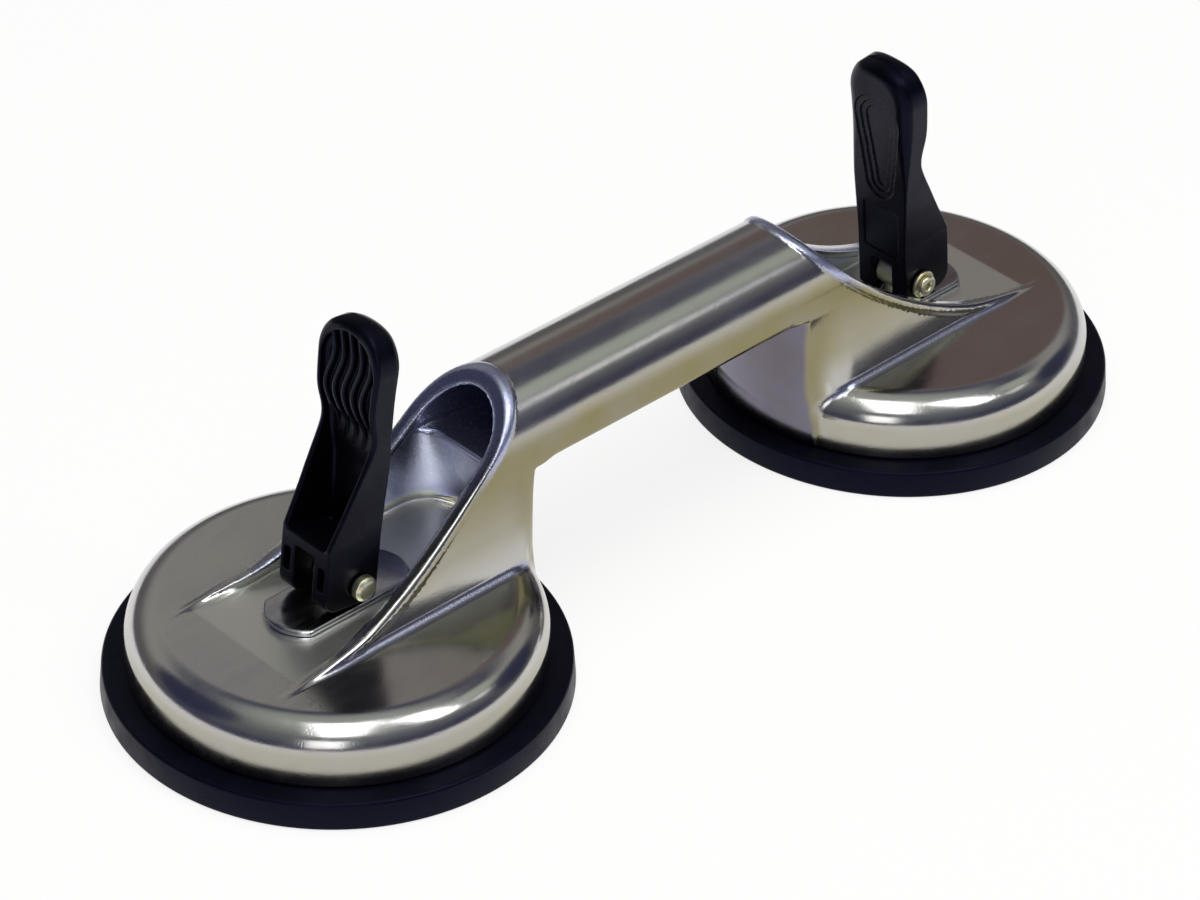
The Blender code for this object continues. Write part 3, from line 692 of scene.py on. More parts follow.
@dataclass(frozen=True)
class CastAluminium:
    """Buffed aluminium casting, left rougher where the buffing wheel doesn't reach.

    Scales are per metre and depths in metres. The colours follow what the casting stores on
    its points: a painted reflection of the warm floor on its sides; painted shade, tinted
    purple by a painted reflection, on the end wall under the handle and in the fillets; an
    as-cast tone, made bluer and paler by a painted reflection of the dim room, where it is
    left as cast; and a lighter tone on a patch of the mouth's floor.
    """

    name: str = "buffed_cast_aluminium"
    bright: Triple = (0.58, 0.57, 0.55)
    # Painted reflection of the warm floor and room, which the side attribute lays on the sideways
    # faces.
    painted_warm_reflection: Triple = (0.255, 0.226, 0.112)
    # As-cast tone, made bluer and paler by a painted reflection of the dim room, which also
    # lightens the hollows.
    cast_tone_and_painted_reflection: Triple = (0.52, 0.56, 0.84)
    # Lighter tone, with its own roughness, of a patch of the mouth's floor.
    land_tone: Triple = (0.88, 0.89, 0.82)
    # Painted shade under the handle and in the fillets, tinted purple by a painted reflection.
    painted_shade: Triple = (0.160, 0.143, 0.166)
    buffed_roughness: Pair = (0.13, 0.20)
    streak_roughness: float = 0.05
    cast_roughness: Pair = (0.30, 0.42)
    land_roughness: float = 0.38
    cloud_scale: float = 38.0
    cloud_span: Pair = (0.42, 0.70)
    cloud_share: float = 0.10
    streak_scale: float = 260.0
    streak_span: Pair = (0.45, 0.75)
    streak_stretch: Triple = (0.25, 1.0, 1.0)
    grain_scale: float = 2300.0
    grain_depth: float = 0.00016
    grain_left: float = 0.06
    wave_scale: float = 55.0
    wave_depth: float = 0.0004
    pit_scale: float = 850.0
    pit_reach: Pair = (0.05, 0.30)
    pit_depth: float = 0.00003

    def build(self) -> bpy.types.Material:
        """Make the material, which reads the point attributes that the casting stores.

        Returns:
            The material.
        """
        recipe = Recipe(self.name)
        polish, land = recipe.attribute("polish"), recipe.attribute("land")
        cloud = recipe.noise(self.cloud_scale, 4.0)
        streak = recipe.noise(self.streak_scale, 3.0, self.streak_stretch)
        grain = recipe.noise(self.grain_scale, 3.0)
        # Painted warm reflection on the sides, then painted shade under the handle and in the
        # fillets.
        tone = recipe.blend(recipe.attribute("side"), self.bright, self.painted_warm_reflection)
        # Painted shade, from the shade attribute, on the end wall under the handle and in the
        # fillets.
        tone = recipe.blend(recipe.attribute("shade"), tone, self.painted_shade)
        # Random clouds and the unbuffed places move toward the as-cast tone with its painted
        # reflection.
        clouded = recipe.spread(cloud, self.cloud_span, (0.0, self.cloud_share))
        tone = recipe.blend(clouded, tone, self.cast_tone_and_painted_reflection)
        tone = recipe.blend(polish, self.cast_tone_and_painted_reflection, tone)
        smooth = recipe.spread(cloud, NOISE_SPAN, self.buffed_roughness)
        streaked = recipe.spread(streak, self.streak_span, (0.0, self.streak_roughness))
        rough = recipe.spread(grain, NOISE_SPAN, self.cast_roughness)
        mixed = recipe.blend(polish, rough, recipe.combined(smooth, streaked), "FLOAT")
        wave = recipe.relief(recipe.noise(self.wave_scale, 2.0), self.wave_depth, 0.3)
        hollows = recipe.spread(recipe.cells(self.pit_scale), self.pit_reach)
        pits = recipe.relief(hollows, self.pit_depth, 0.35, wave)
        unbuffed = recipe.combined(1.0 + self.grain_left, polish, "SUBTRACT")
        fine = recipe.combined(unbuffed, grain, "MULTIPLY")
        return recipe.served({
            "Base Color": recipe.blend(land, tone, self.land_tone),
            "Metallic": 1.0,
            "Roughness": recipe.blend(land, mixed, self.land_roughness, "FLOAT"),
            "Normal": recipe.relief(fine, self.grain_depth, 0.5, pits),
        })


@dataclass(frozen=True)
class RolledSteel:
    """Bright pressed or turned steel with faint rolling lines."""

    name: str
    colour: Triple
    shadow: Triple
    roughness: Pair
    cloud_scale: float = 120.0
    cloud_span: Pair = (0.4, 0.7)
    line_scale: float = 1400.0
    line_stretch: Triple = (0.06, 1.0, 1.0)
    line_depth: float = 0.00005

    def build(self) -> bpy.types.Material:
        """Make the material: clouds drive its colour, and lines its roughness and relief.

        Returns:
            The material.
        """
        recipe = Recipe(self.name)
        cloud = recipe.spread(recipe.noise(self.cloud_scale, 4.0), self.cloud_span)
        lines = recipe.noise(self.line_scale, 2.0, self.line_stretch)
        return recipe.served({
            "Base Color": recipe.blend(cloud, self.colour, self.shadow),
            "Metallic": 1.0,
            "Roughness": recipe.spread(lines, NOISE_SPAN, self.roughness),
            "Normal": recipe.relief(lines, self.line_depth, 0.4),
        })


@dataclass(frozen=True)
class YellowZinc:
    """Yellow-passivated zinc plate, with its drift of gold and pale green."""

    name: str = "yellow_zinc_plate"
    gold: Triple = (0.93, 0.85, 0.52)
    pale: Triple = (0.92, 0.92, 0.74)
    roughness: Pair = (0.28, 0.44)
    drift_scale: float = 420.0
    drift_span: Pair = (0.38, 0.62)
    grain_scale: float = 2600.0
    grain_depth: float = 0.0001

    def build(self) -> bpy.types.Material:
        """Make the material: a slow drift drives its colour, and grain the rest.

        Returns:
            The material.
        """
        recipe = Recipe(self.name)
        drift = recipe.spread(recipe.noise(self.drift_scale, 3.0), self.drift_span)
        grain = recipe.noise(self.grain_scale, 3.0)
        return recipe.served({
            "Base Color": recipe.blend(drift, self.gold, self.pale),
            "Metallic": 1.0,
            "Roughness": recipe.spread(grain, NOISE_SPAN, self.roughness),
            "Normal": recipe.relief(grain, self.grain_depth, 0.35),
        })


@dataclass(frozen=True)
class SatinMoulding:
    """Black moulded plastic or rubber, with a fine grain and a faint bloom."""

    name: str
    colour: Triple
    bloom: Triple
    roughness: Pair
    grain_scale: float
    grain_depth: float
    specular: float
    sheen: Triple
    cloud_scale: float = 70.0
    cloud_span: Pair = (0.45, 0.75)
    bloom_share: float = 0.6
    pit_reach: Pair = (0.0, 0.5)
    pit_share: float = 0.5
    scuff_scale: float = 160.0
    scuff_span: Pair = (0.4, 0.7)

    def build(self) -> bpy.types.Material:
        """Make the material: clouds drive its bloom, scuffs its roughness, grain its relief.

        Returns:
            The material.
        """
        recipe = Recipe(self.name)
        cloud = recipe.noise(self.cloud_scale, 5.0)
        bloomed = recipe.spread(cloud, self.cloud_span, (0.0, self.bloom_share))
        grain = recipe.noise(self.grain_scale, 3.0)
        hollows = recipe.cells(self.grain_scale * 1.5)
        pits = recipe.spread(hollows, self.pit_reach, (0.0, self.pit_share))
        scuffs = recipe.noise(self.scuff_scale, 6.0)
        return recipe.served({
            "Base Color": recipe.blend(bloomed, self.colour, self.bloom),
            "Roughness": recipe.spread(scuffs, self.scuff_span, self.roughness),
            "Specular IOR Level": self.specular,
            "Specular Tint": self.sheen,
            "Normal": recipe.relief(recipe.combined(grain, pits), self.grain_depth, 0.5),
        })


@dataclass
class Finishes:
    """The finishes of the lifter's pieces."""

    aluminium: bpy.types.Material
    plate: bpy.types.Material
    disc: bpy.types.Material
    zinc: bpy.types.Material
    rubber: bpy.types.Material
    plastic: bpy.types.Material

    @classmethod
    def build(cls) -> "Finishes":
        """Make each finish once.

        Returns:
            The finishes.
        """
        return cls(
            aluminium=CastAluminium().build(),
            plate=RolledSteel(
                name="bright_pressed_steel",
                colour=(0.50, 0.50, 0.53),
                shadow=(0.36, 0.36, 0.40),
                roughness=(0.14, 0.26),
            ).build(),
            disc=RolledSteel(
                name="dull_steel",
                colour=(0.42, 0.42, 0.43),
                shadow=(0.26, 0.26, 0.27),
                roughness=(0.30, 0.45),
            ).build(),
            zinc=YellowZinc().build(),
            rubber=SatinMoulding(
                name="black_rubber",
                colour=(0.0016, 0.0016, 0.0040),
                bloom=(0.0036, 0.0036, 0.0080),
                roughness=(0.36, 0.50),
                grain_scale=900.0,
                grain_depth=0.00008,
                specular=0.17,
                sheen=(0.38, 0.40, 0.95),
            ).build(),
            plastic=SatinMoulding(
                name="black_moulded_plastic",
                colour=(0.0012, 0.0012, 0.0022),
                bloom=(0.0030, 0.0030, 0.0050),
                roughness=(0.28, 0.40),
                grain_scale=1300.0,
                grain_depth=0.00006,
                specular=0.18,
                sheen=(0.36, 0.38, 0.90),
            ).build(),
        )


def dress(
    piece: bpy.types.Object, finish: bpy.types.Material, body: str, slot: str, *nodes: str
) -> None:
    """Give a new piece its finish and the body it rides on, and hide the nodes it stands for.

    Args:
        piece: The new piece.
        finish: Its material.
        body: Name of the body that it moves with.
        slot: The record's material slot; not used.
        *nodes: CAD nodes that it replaces.
    """
    piece.data.materials.append(finish)
    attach(piece, body)
    if nodes:
        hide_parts(*nodes)
    LOG.info("%s: %d faces on %s", piece.name, len(piece.data.polygons), body)


# ---------------------------------------------------------------------------
# Sub-assemblies
# ---------------------------------------------------------------------------


@dataclass(frozen=True)
class Reach:
    """Where the casting's point attributes begin and end, in millimetres of its head's frame.

    A pair is the start and the end of a smooth step. Bands are distances from a surface, depths
    are distances inward along the handle, and losses are shares.
    """

    inside_band: Pair = (0.3, 1.2)
    inside_rise: float = 0.6
    tunnel_heights: Pair = (50.0, 54.0)
    tunnel_depths: Pair = (40.0, 60.0)
    rim_band: Pair = (0.05, 0.5)
    rim_heights: Pair = (48.0, 60.0)
    valley_band: Pair = (0.9, 2.0)
    valley_base: float = 15.0
    valley_tip: Pair = (16.0, 26.0)
    valley_depths: Pair = (44.0, 48.0)
    # Painted shade: its share in the fillets, and the bounds of it on the end wall under the
    # handle.
    valley_shade: float = 0.5
    end_band: Pair = (0.2, 0.6)
    end_drop: Pair = (0.0, 2.0)
    end_depths: Pair = (44.0, 50.0)
    end_margin: Pair = (-0.1, 0.7)
    # Painted warm reflection: which slopes face sideways, and how much less it is on the drum and
    # at the hood's foot.
    upward: Pair = (0.05, 0.6)
    drum_band: Pair = (0.3, 1.5)
    drum_loss: float = 0.45
    foot_heights: Pair = (27.0, 38.0)
    foot_places: Pair = (-50.0, -44.0)
    foot_loss: float = 0.65
    land_edge: Pair = (-2.4, -1.6)
    land_tip: Pair = (29.6, 30.6)
    land_back: Pair = (-48.0, -44.0)
    land_drop: float = 1.2
    land_rise: Pair = (1.4, 4.0)
    unseen_band: float = 0.05
    unseen_depth: float = 1.0
    unseen_rise: float = 1.2
    unseen_margin: float = 1.0


@dataclass
class Casting:
    """The one-piece aluminium casting: two domes, two hoods and the hollow handle.

    It is one field in the head's frame, used for both heads by the distance from the middle,
    because the casting is the same on both sides of it and on both sides of its length.
    """

    wall: float = 3.0
    dome_radius: float = 53.3
    dome_top: float = 25.0
    crown: float = 0.3
    shoulder: float = 9.0
    foot_base: float = 8.1
    foot_round: float = 0.5
    bore_radius: float = 3.55
    handle_half_width: float = 16.0
    arch_centre: float = 54.0
    underside: float = 48.0
    underside_corner: float = 2.2
    end_corner: float = 0.7
    corner_growth: Pair = (54.0, 60.0)
    hood_half_width: float = 22.0
    hood_soft: float = 2.5
    hood_tuck: float = 2.3
    hood_back: float = 50.0
    hood_setback: float = 4.4
    hood_corner_run: float = 12.0
    parting_setback: float = 0.2
    hood_end: float = 31.0
    hood_fillet: Pair = (0.25, 1.45)
    hood_fillet_heights: Pair = (13.5, 19.0)
    end_step: float = 0.3
    end_lean: float = 1.0
    end_fillet: float = 0.5
    mouth_radius: float = 125.6
    mouth_centre: Pair = (48.5, 147.9)
    mouth_round: float = 0.6
    lip_half_width: float = 2.1
    lip_half_depth: float = 1.2
    lip_proud: float = 0.35
    lip_round: float = 0.85
    lip_fillet: float = 0.7
    lip_run_out: Pair = (4.0, 27.0)
    lip_narrowing: float = 1.1
    lip_thinning: float = 0.3
    lip_end: float = 36.0
    tip_rise: float = 0.7
    pocket_depth: float = 51.0
    pocket_overhang: float = 10.0
    pocket_corner: float = 15.0
    pocket_corner_loss: float = 9.0
    pocket_overlap: float = 0.5
    pocket_fillet: float = 1.4
    pocket_fillet_reach: float = 2.5
    tunnel_round: float = 1.5
    hollow_round: float = 0.8
    cell: float = 0.83
    hidden_share: float = 0.06
    reach: Reach = Reach()

    def half_width(self, z: Array) -> Array:
        """Half-width of the outer walls: widest at the dome's top, and the handle's width above.

        It is the smaller of two straight slopes that meet at the dome's top, with their meeting
        rounded, and never less than half the handle's width.

        Args:
            z: Heights.

        Returns:
            The half-width at each height.
        """
        flare = self.hood_half_width - self.handle_half_width
        taper = flare * (z - self.dome_top) / (self.underside - self.dome_top)
        above = self.hood_half_width - taper
        fall = self.hood_tuck * (self.dome_top - z) / (self.dome_top - self.foot_base)
        ridge = np.minimum(above, self.hood_half_width - fall)
        gap = np.clip((ridge - self.handle_half_width) / self.hood_soft, -1.0, 1.0)
        lifted = self.handle_half_width + self.hood_soft * (gap + 1.0) ** 2 / 4.0
        return np.where(np.abs(gap) < 1.0, lifted, np.maximum(ridge, self.handle_half_width))

    def side(self, y: Array, z: Array, inset: Array | float = 0.0) -> Array:
        """Distance to the outer walls and the round crown above them.

        Args:
            y: Distances across.
            z: Heights.
            inset: How far the walls are set in.

        Returns:
            Distances, negative inside.
        """
        upright = np.abs(y) - self.half_width(z)
        crown = np.hypot(y, z - self.arch_centre) - self.handle_half_width
        return np.where(z > self.arch_centre, crown, upright) + inset

    def mouth(self, x: Array, z: Array) -> Array:
        """Distance into the scooped mouth: the mouth's radius less the distance from its centre."""
        return self.mouth_radius - np.hypot(x - self.mouth_centre[0], z - self.mouth_centre[1])

    def walls(self, x: Array, y: Array, z: Array) -> Array:
        """Distance to the side walls, bent in near the hood's end wall.

        They bend in by the setback times the square of the share of the corner's run, down to
        the parting edge.

        Args:
            x, y, z: Coordinates in the head's frame.

        Returns:
            Distances, negative inside.
        """
        share = np.clip((self.underside - z) / (self.underside - self.dome_top), 0.0, 1.0)
        low = np.clip((z - self.foot_base) / (self.dome_top - self.foot_base), 0.0, 1.0)
        run = -x - (self.hood_back - self.hood_corner_run)
        corner = np.clip(run / self.hood_corner_run, 0.0, 1.2)
        bend = (self.hood_setback * share * low + self.parting_setback) * corner ** 2
        return self.side(y, z, bend * (z < self.arch_centre))

    def end_wall(self, x: Array, y: Array, z: Array) -> Array:
        """Distance to the hood's curved end wall, which leans out a little as it rises.

        Args:
            x, y, z: Coordinates in the head's frame.

        Returns:
            Distances, negative inside.
        """
        rise = (z - self.foot_base) / (self.underside - self.foot_base)
        end_radius = self.dome_radius + self.end_step + self.end_lean * rise
        return np.where(x < 0.0, np.hypot(x, y) - end_radius, -end_radius)

    def shell(self, x: Array, y: Array, z: Array) -> Array:
        """Distance to the outside of handle and hood.

        It lies between the walls, and above the handle's underside or within the hood's curved
        end wall, whose meeting is a fillet.

        Args:
            x, y, z: Coordinates in the head's frame.

        Returns:
            Distances, negative inside.
        """
        walls, end = self.walls(x, y, z), self.end_wall(x, y, z)
        lower = joined(self.underside - z, end, self.end_fillet)
        growth = eased(-x, *self.corner_growth)
        radius = self.end_corner + (self.underside_corner - self.end_corner) * growth
        return shared(walls, lower, radius)

    def hollow(self, x: Array, y: Array, z: Array) -> Array:
        """Distance to the inside of hood and handle: the pocket behind the lever, and the tunnel.

        The pocket's back leans outward as it rises, and its back corners are round. The fillet
        between the two shrinks towards the walls.

        Args:
            x, y, z: Coordinates in the head's frame.

        Returns:
            Distances, negative inside.
        """
        inner = self.side(y, z, self.wall)
        ceiling = self.underside + self.wall
        rise = np.clip((z - self.dome_top) / (ceiling - self.dome_top), -0.2, 1.0)
        back = -self.pocket_depth + self.pocket_overhang * rise
        corner = self.pocket_corner - self.pocket_corner_loss * rise
        pocket = np.maximum(shared(inner, back - x, corner), z - ceiling - self.pocket_overlap)
        tunnel = shared(inner, ceiling - z, self.tunnel_round)
        radius = self.pocket_fillet * np.clip(-inner / self.pocket_fillet_reach, 0.03, 1.0)
        return joined(pocket, tunnel, radius)

    def bead(self, x: Array, y: Array, z: Array) -> Array:
        """Distance to the flat lip round the mouth, whose face lies on the mouth's curve.

        Its edges are round. Towards the tip it narrows, and rises by a little so that it runs
        out on the dome's top.

        Args:
            x, y, z: Coordinates in the head's frame.

        Returns:
            Distances, negative inside.
        """
        run_out = eased(x, *self.lip_run_out)
        half_width = self.lip_half_width - self.lip_narrowing * run_out
        half_depth = self.lip_half_depth - self.lip_thinning * run_out
        across = np.abs(self.side(y, z, half_width - self.lip_proud)) - half_width
        sunk = half_depth - (half_depth + self.tip_rise) * run_out
        deep = np.abs(self.mouth(x, z) + sunk) - half_depth
        return np.maximum(shared(across, deep, self.lip_round), x - self.lip_end)

    def dome(self, x: Array, y: Array, z: Array) -> Array:
        """Distance to the dome, with its round shoulder and slightly crowned top.

        Args:
            x, y, z: Coordinates in the head's frame.

        Returns:
            Distances, negative inside.
        """
        radius = np.hypot(x, y)
        flat = self.dome_radius - self.shoulder
        fall = self.crown * np.clip(1.0 - (radius / flat) ** 2, 0.0, 1.0)
        return shared(radius - self.dome_radius, z - fall - self.dome_top, self.shoulder)

    def cavity(self, x: Array, y: Array, z: Array) -> Array:
        """Distance to the dome's hollow, a wall's thickness inside it, and the stud's bore.

        Args:
            x, y, z: Coordinates in the head's frame.

        Returns:
            Distances, negative inside.
        """
        radius = np.hypot(x, y)
        outer, top = radius - self.dome_radius + self.wall, z - self.dome_top + self.wall
        room = shared(outer, top, self.shoulder - self.wall)
        return np.minimum(room, radius - self.bore_radius)

    def body(self, x: Array, y: Array, z: Array) -> Array:
        """Distance to the whole casting.

        The shell is cut by the mouth and hollowed; then the dome joins it with a cast fillet,
        the lip joins both, and the dome's hollow and the flat foot are cut last.

        Args:
            x, y, z: Coordinates in the head's frame.

        Returns:
            Distances, negative inside.
        """
        hood = shared(self.shell(x, y, z), self.mouth(x, z), self.mouth_round)
        hood = shared(hood, -self.hollow(x, y, z), self.hollow_round)
        hood = np.maximum(hood, x - self.hood_end)
        least, gain = self.hood_fillet
        fillet = least + gain * eased(z, *self.hood_fillet_heights)
        metal = joined(hood, self.dome(x, y, z), fillet)
        metal = joined(metal, self.bead(x, y, z), self.lip_fillet)
        metal = np.maximum(metal, -self.cavity(x, y, z))
        return shared(metal, self.foot_base - z, self.foot_round)

    def world(self, x: Array, y: Array, z: Array) -> Array:
        """Distance to the casting from world points: the head's field, |x| less half the pitch."""
        return self.body(np.abs(x) - HALF_PITCH, y, z)

    def axes(self) -> tuple[Array, Array, Array]:
        """Grid planes: fine over the heads, and far apart along the straight handle.

        Each set is shifted a little, which keeps the planes off the casting's flat faces.

        Returns:
            The planes' places along, across and up.
        """
        fine = np.arange(44.0, 157.5, self.cell)
        coarse = np.linspace(0.0, 44.0, 11)[:-1]
        half = np.concatenate([coarse, fine])
        along = np.concatenate([-half[:0:-1], half])
        across = np.arange(-56.0, 56.5, self.cell)
        up = np.concatenate([np.arange(7.6, 10.0, 0.34), np.arange(10.0, 73.0, self.cell)])
        return along + 0.013, across + 0.017, up + 0.011

    def unseen(self, points: Array) -> Array:
        """Find the points on the dome's inner side, well away from its foot and its bore.

        Args:
            points: World points, one per row.

        Returns:
            True for each such point.
        """
        x, y, z = in_head(points)
        reach = self.reach
        on_hollow = np.abs(self.cavity(x, y, z)) < reach.unseen_band
        deep = self.dome(x, y, z) < -reach.unseen_depth
        high = z > self.foot_base + reach.unseen_rise
        clear = np.hypot(x, y) > self.bore_radius + reach.unseen_margin
        return on_hollow & deep & high & clear

    def polish_at(self, points: Array) -> Array:
        """How well each point is buffed: less inside the hood, the handle and the grooves. Where it
        is less, the colour moves to an as-cast tone with a painted reflection of the dim room.

        Args:
            points: World points, one per row.

        Returns:
            Shares from 0 to 1.
        """
        x, y, z = in_head(points)
        inside = self.inside_at(points)
        reach = self.reach
        tunnel = inside * eased(z, *reach.tunnel_heights) * eased(-x, *reach.tunnel_depths)
        rim = 1.0 - eased(np.abs(self.bead(x, y, z)), *reach.rim_band)
        rough = np.maximum.reduce([
            Unbuffed.INSIDE.value * inside,
            Unbuffed.TUNNEL.value * tunnel,
            Unbuffed.FILLET.value * self.fillet_at(points),
            Unbuffed.RIM.value * (rim * eased(z, *reach.rim_heights)),
        ])
        return 1.0 - np.where(self.unseen(points), 1.0, rough)

    def fillet_at(self, points: Array) -> Array:
        """How deep each point lies in the fillet between hood and dome, which ends at the tips.

        Args:
            points: World points, one per row.

        Returns:
            Shares from 0 to 1.
        """
        x, y, z = in_head(points)
        groove = np.hypot(self.shell(x, y, z), self.dome(x, y, z))
        reach = self.reach
        valley = (1.0 - eased(groove, *reach.valley_band)) * (z > reach.valley_base)
        valley = valley * (1.0 - eased(x, *reach.valley_tip))
        return valley * (1.0 - eased(-x, *reach.valley_depths))

    def painted_shade_at(self, points: Array) -> Array:
        """How much painted shade each point gets, tinted purple by a painted reflection: the end
        wall under the handle, and half that in fillets.

        Args:
            points: World points, one per row.

        Returns:
            Shares from 0 to 1.
        """
        x, y, z = in_head(points)
        reach = self.reach
        end = 1.0 - eased(np.abs(self.end_wall(x, y, z)), *reach.end_band)
        bounds = eased(self.underside - z, *reach.end_drop) * eased(-x, *reach.end_depths)
        corner = eased(-self.walls(x, y, z), *reach.end_margin)
        return np.maximum(end * bounds * corner, reach.valley_shade * self.fillet_at(points))

    def inside_at(self, points: Array) -> Array:
        """Whether each point lies on the inside of the hood or of the handle.

        Args:
            points: World points, one per row.

        Returns:
            Shares from 0 to 1.
        """
        x, y, z = in_head(points)
        near = 1.0 - eased(np.abs(self.hollow(x, y, z)), *self.reach.inside_band)
        return near * (z > self.dome_top + self.reach.inside_rise)

    def painted_reflection_at(self, points: Array, normals: Array) -> Array:
        """How much painted reflection of the warm floor each point gets, as far as it faces
        sideways.

        It counts less on the dome's wall and at the hood's foot, and not inside the hood.

        Args:
            points: World points, one per row.
            normals: Unit normals at them.

        Returns:
            Shares from 0 to 1.
        """
        x, y, z = in_head(points)
        reach = self.reach
        sideways = 1.0 - eased(normals[:, 2], *reach.upward)
        on_drum = np.maximum(eased(self.shell(x, y, z), *reach.drum_band), x > 0.0)
        foot = (1.0 - eased(z, *reach.foot_heights)) * (1.0 - on_drum)
        foot = foot * eased(x, *reach.foot_places)
        left = 1.0 - reach.drum_loss * on_drum - reach.foot_loss * foot
        return sideways * left * (1.0 - self.inside_at(points))

    def land_at(self, points: Array) -> Array:
        """Whether each point lies in the patch of the mouth's floor that is lighter and rougher.

        Args:
            points: World points, one per row.

        Returns:
            Shares from 0 to 1.
        """
        x, y, z = in_head(points)
        reach, rise = self.reach, z - self.dome_top
        between = 1.0 - eased(self.side(y, z), *reach.land_edge)
        floor = between * (1.0 - eased(x, *reach.land_tip)) * eased(x, *reach.land_back)
        above = z > self.dome_top - reach.land_drop
        return floor * above * (1.0 - eased(rise, *reach.land_rise))

    def build(self, finishes: Finishes) -> None:
        """Build and dress the casting, and the raised seats that the saddle plates lie on.

        Args:
            finishes: The finishes.
        """
        skin = Skin(self.world, self.axes())
        piece = mesh_piece("casting", skin.points, skin.quads.tolist())
        thinned(piece, self.unseen(skin.points), self.hidden_share)
        points = point_places(piece.data)
        normals = unit_slopes(self.world, points)
        piece.data.normals_split_custom_set_from_vertices(normals)
        store(piece.data, "polish", self.polish_at(points))
        # The side attribute carries the painted warm reflection, and shade the painted shade.
        store(piece.data, "side", self.painted_reflection_at(points, normals))
        store(piece.data, "land", self.land_at(points))
        store(piece.data, "shade", self.painted_shade_at(points))
        dress(piece, finishes.aluminium, "frame", "aluminium", "housing")
        marks = {"polish": 1.0 - Unbuffed.SEAT.value, "side": 0.0, "land": 0.0, "shade": 0.0}
        for head in Head:
            seat = SaddlePlate(f"{head.value}_seat", base=24.6, top=25.8, margin=0.15, edge=0.35)
            made = seat.piece(head)
            for label, value in marks.items():
                store(made.data, label, np.full(len(made.data.vertices), value))
            dress(made, finishes.aluminium, "frame", "aluminium", "housing")


@dataclass
class SaddlePlate:
    """A flat plate with straight sides, bulged ends, rounded edges and the stud's hole."""

    name: str
    base: float
    top: float
    margin: float = 0.0
    edge: float = 0.9
    half_width: float = 9.0
    corner: float = 16.0
    bulge: float = 4.8
    bore: float = 3.55
    columns: int = 144

    def outline(self, inset: Array) -> Array:
        """Plan outline for each inset: two arcs, and the straight sides between their ends.

        Each arc has the radius (h^2 + b^2) / 2b for half-width h and bulge b, and its points
        are spread evenly over it.

        Args:
            inset: Distances inward from the plate's edge, one per row of the grid.

        Returns:
            (x, y) for each row and column.
        """
        half = (self.half_width + self.margin - inset)[:, None]
        end = (self.corner + self.margin - inset)[:, None]
        radius = (half ** 2 + self.bulge ** 2) / (2.0 * self.bulge)
        spread = np.arcsin(np.minimum(half / radius, 1.0))
        quarter = self.columns // 4
        swing = np.linspace(-1.0, 1.0, quarter)
        arc_x = end + self.bulge - radius + radius * np.cos(spread * swing)
        arc_y = radius * np.sin(spread * swing)
        straight = np.linspace(1.0, -1.0, quarter + 2)[1:-1]
        side_x = arc_x[:, :1] * straight
        side_y = np.broadcast_to(half, side_x.shape)
        x = np.concatenate([arc_x, side_x, -arc_x, -side_x], axis=1)
        y = np.concatenate([arc_y, side_y, -arc_y, -side_y], axis=1)
        return np.stack([x, y], axis=-1)

    def piece(self, head: Head) -> bpy.types.Object:
        """Make the plate: its edge profile carried round the outline, and flat to its hole.

        Args:
            head: The head that it lies on.

        Returns:
            The piece.
        """
        corners = [
            (self.edge + 1.0, self.base, 0.0),
            (0.0, self.base, 0.25),
            (0.0, self.top, self.edge),
            (self.edge + 1.0, self.top, 0.0),
        ]
        profile = rounded_profile(corners, 5, closed=False)
        rim = self.outline(profile[:, 0])
        turn = np.arctan2(rim[-1, :, 1], rim[-1, :, 0])
        hole = self.bore * np.stack([np.cos(turn), np.sin(turn)], axis=-1)
        share = np.linspace(0.0, 1.0, 5)[1:, None, None]
        inward = rim[-1] * (1.0 - share) + hole * share
        plan = np.concatenate([rim, inward, inward[::-1]])
        height = np.concatenate([profile[:, 1], np.full(4, self.top), np.full(4, self.base)])
        level = np.broadcast_to(height[:, None, None], (*plan.shape[:2], 1))
        points = np.concatenate([plan, level], axis=-1).reshape(-1, 3)
        faces = grid_faces(len(plan), plan.shape[1], rows_close=True)
        return mesh_piece(self.name, head.place(points), faces.tolist())


@dataclass
class RubberPad:
    """The suction cup's rubber: rim, sealing land, shallow recess, web and upper lip."""

    radius: float = 60.0
    height: float = 7.8
    taper: float = 0.7
    land: float = 15.0
    recess: float = 1.0
    web_top: float = 4.0
    lip_outer: float = 50.0
    lip_inner: float = 47.0
    lip_top: float = 10.8
    columns: int = 256

    def profile(self) -> Array:
        """Section of the pad, from the middle of its underside round to the middle of its web.

        Returns:
            (radius, height) points.
        """
        inner = self.radius - self.land
        upper = self.radius - self.taper
        corners = [
            (0.0, self.recess, 0.0),
            (inner - 1.2, self.recess, 0.8),
            (inner, 0.0, 0.5),
            (self.radius, 0.0, 0.9),
            (upper, self.height, 1.0),
            (self.lip_outer, self.height, 0.2),
            (self.lip_outer, self.lip_top, 0.6),
            (self.lip_inner, self.lip_top, 0.6),
            (self.lip_inner, self.height, 0.8),
            (self.lip_inner - 3.0, self.web_top, 1.2),
            (0.0, self.web_top, 0.0),
        ]
        return subdivided(rounded_profile(corners, 6, closed=False), 4.0, closed=False)

    def build(self, head: Head, finishes: Finishes) -> None:
        """Turn the section about the cup's axis and dress it.

        Args:
            head: The head that it belongs to.
            finishes: The finishes.
        """
        points, faces = turned_solid(self.profile(), self.columns)
        piece = mesh_piece(f"{head.value}_cup_rubber", head.place(points), faces)
        dress(piece, finishes.rubber, "frame", "rubber", f"{head.value}_rubber_pad")


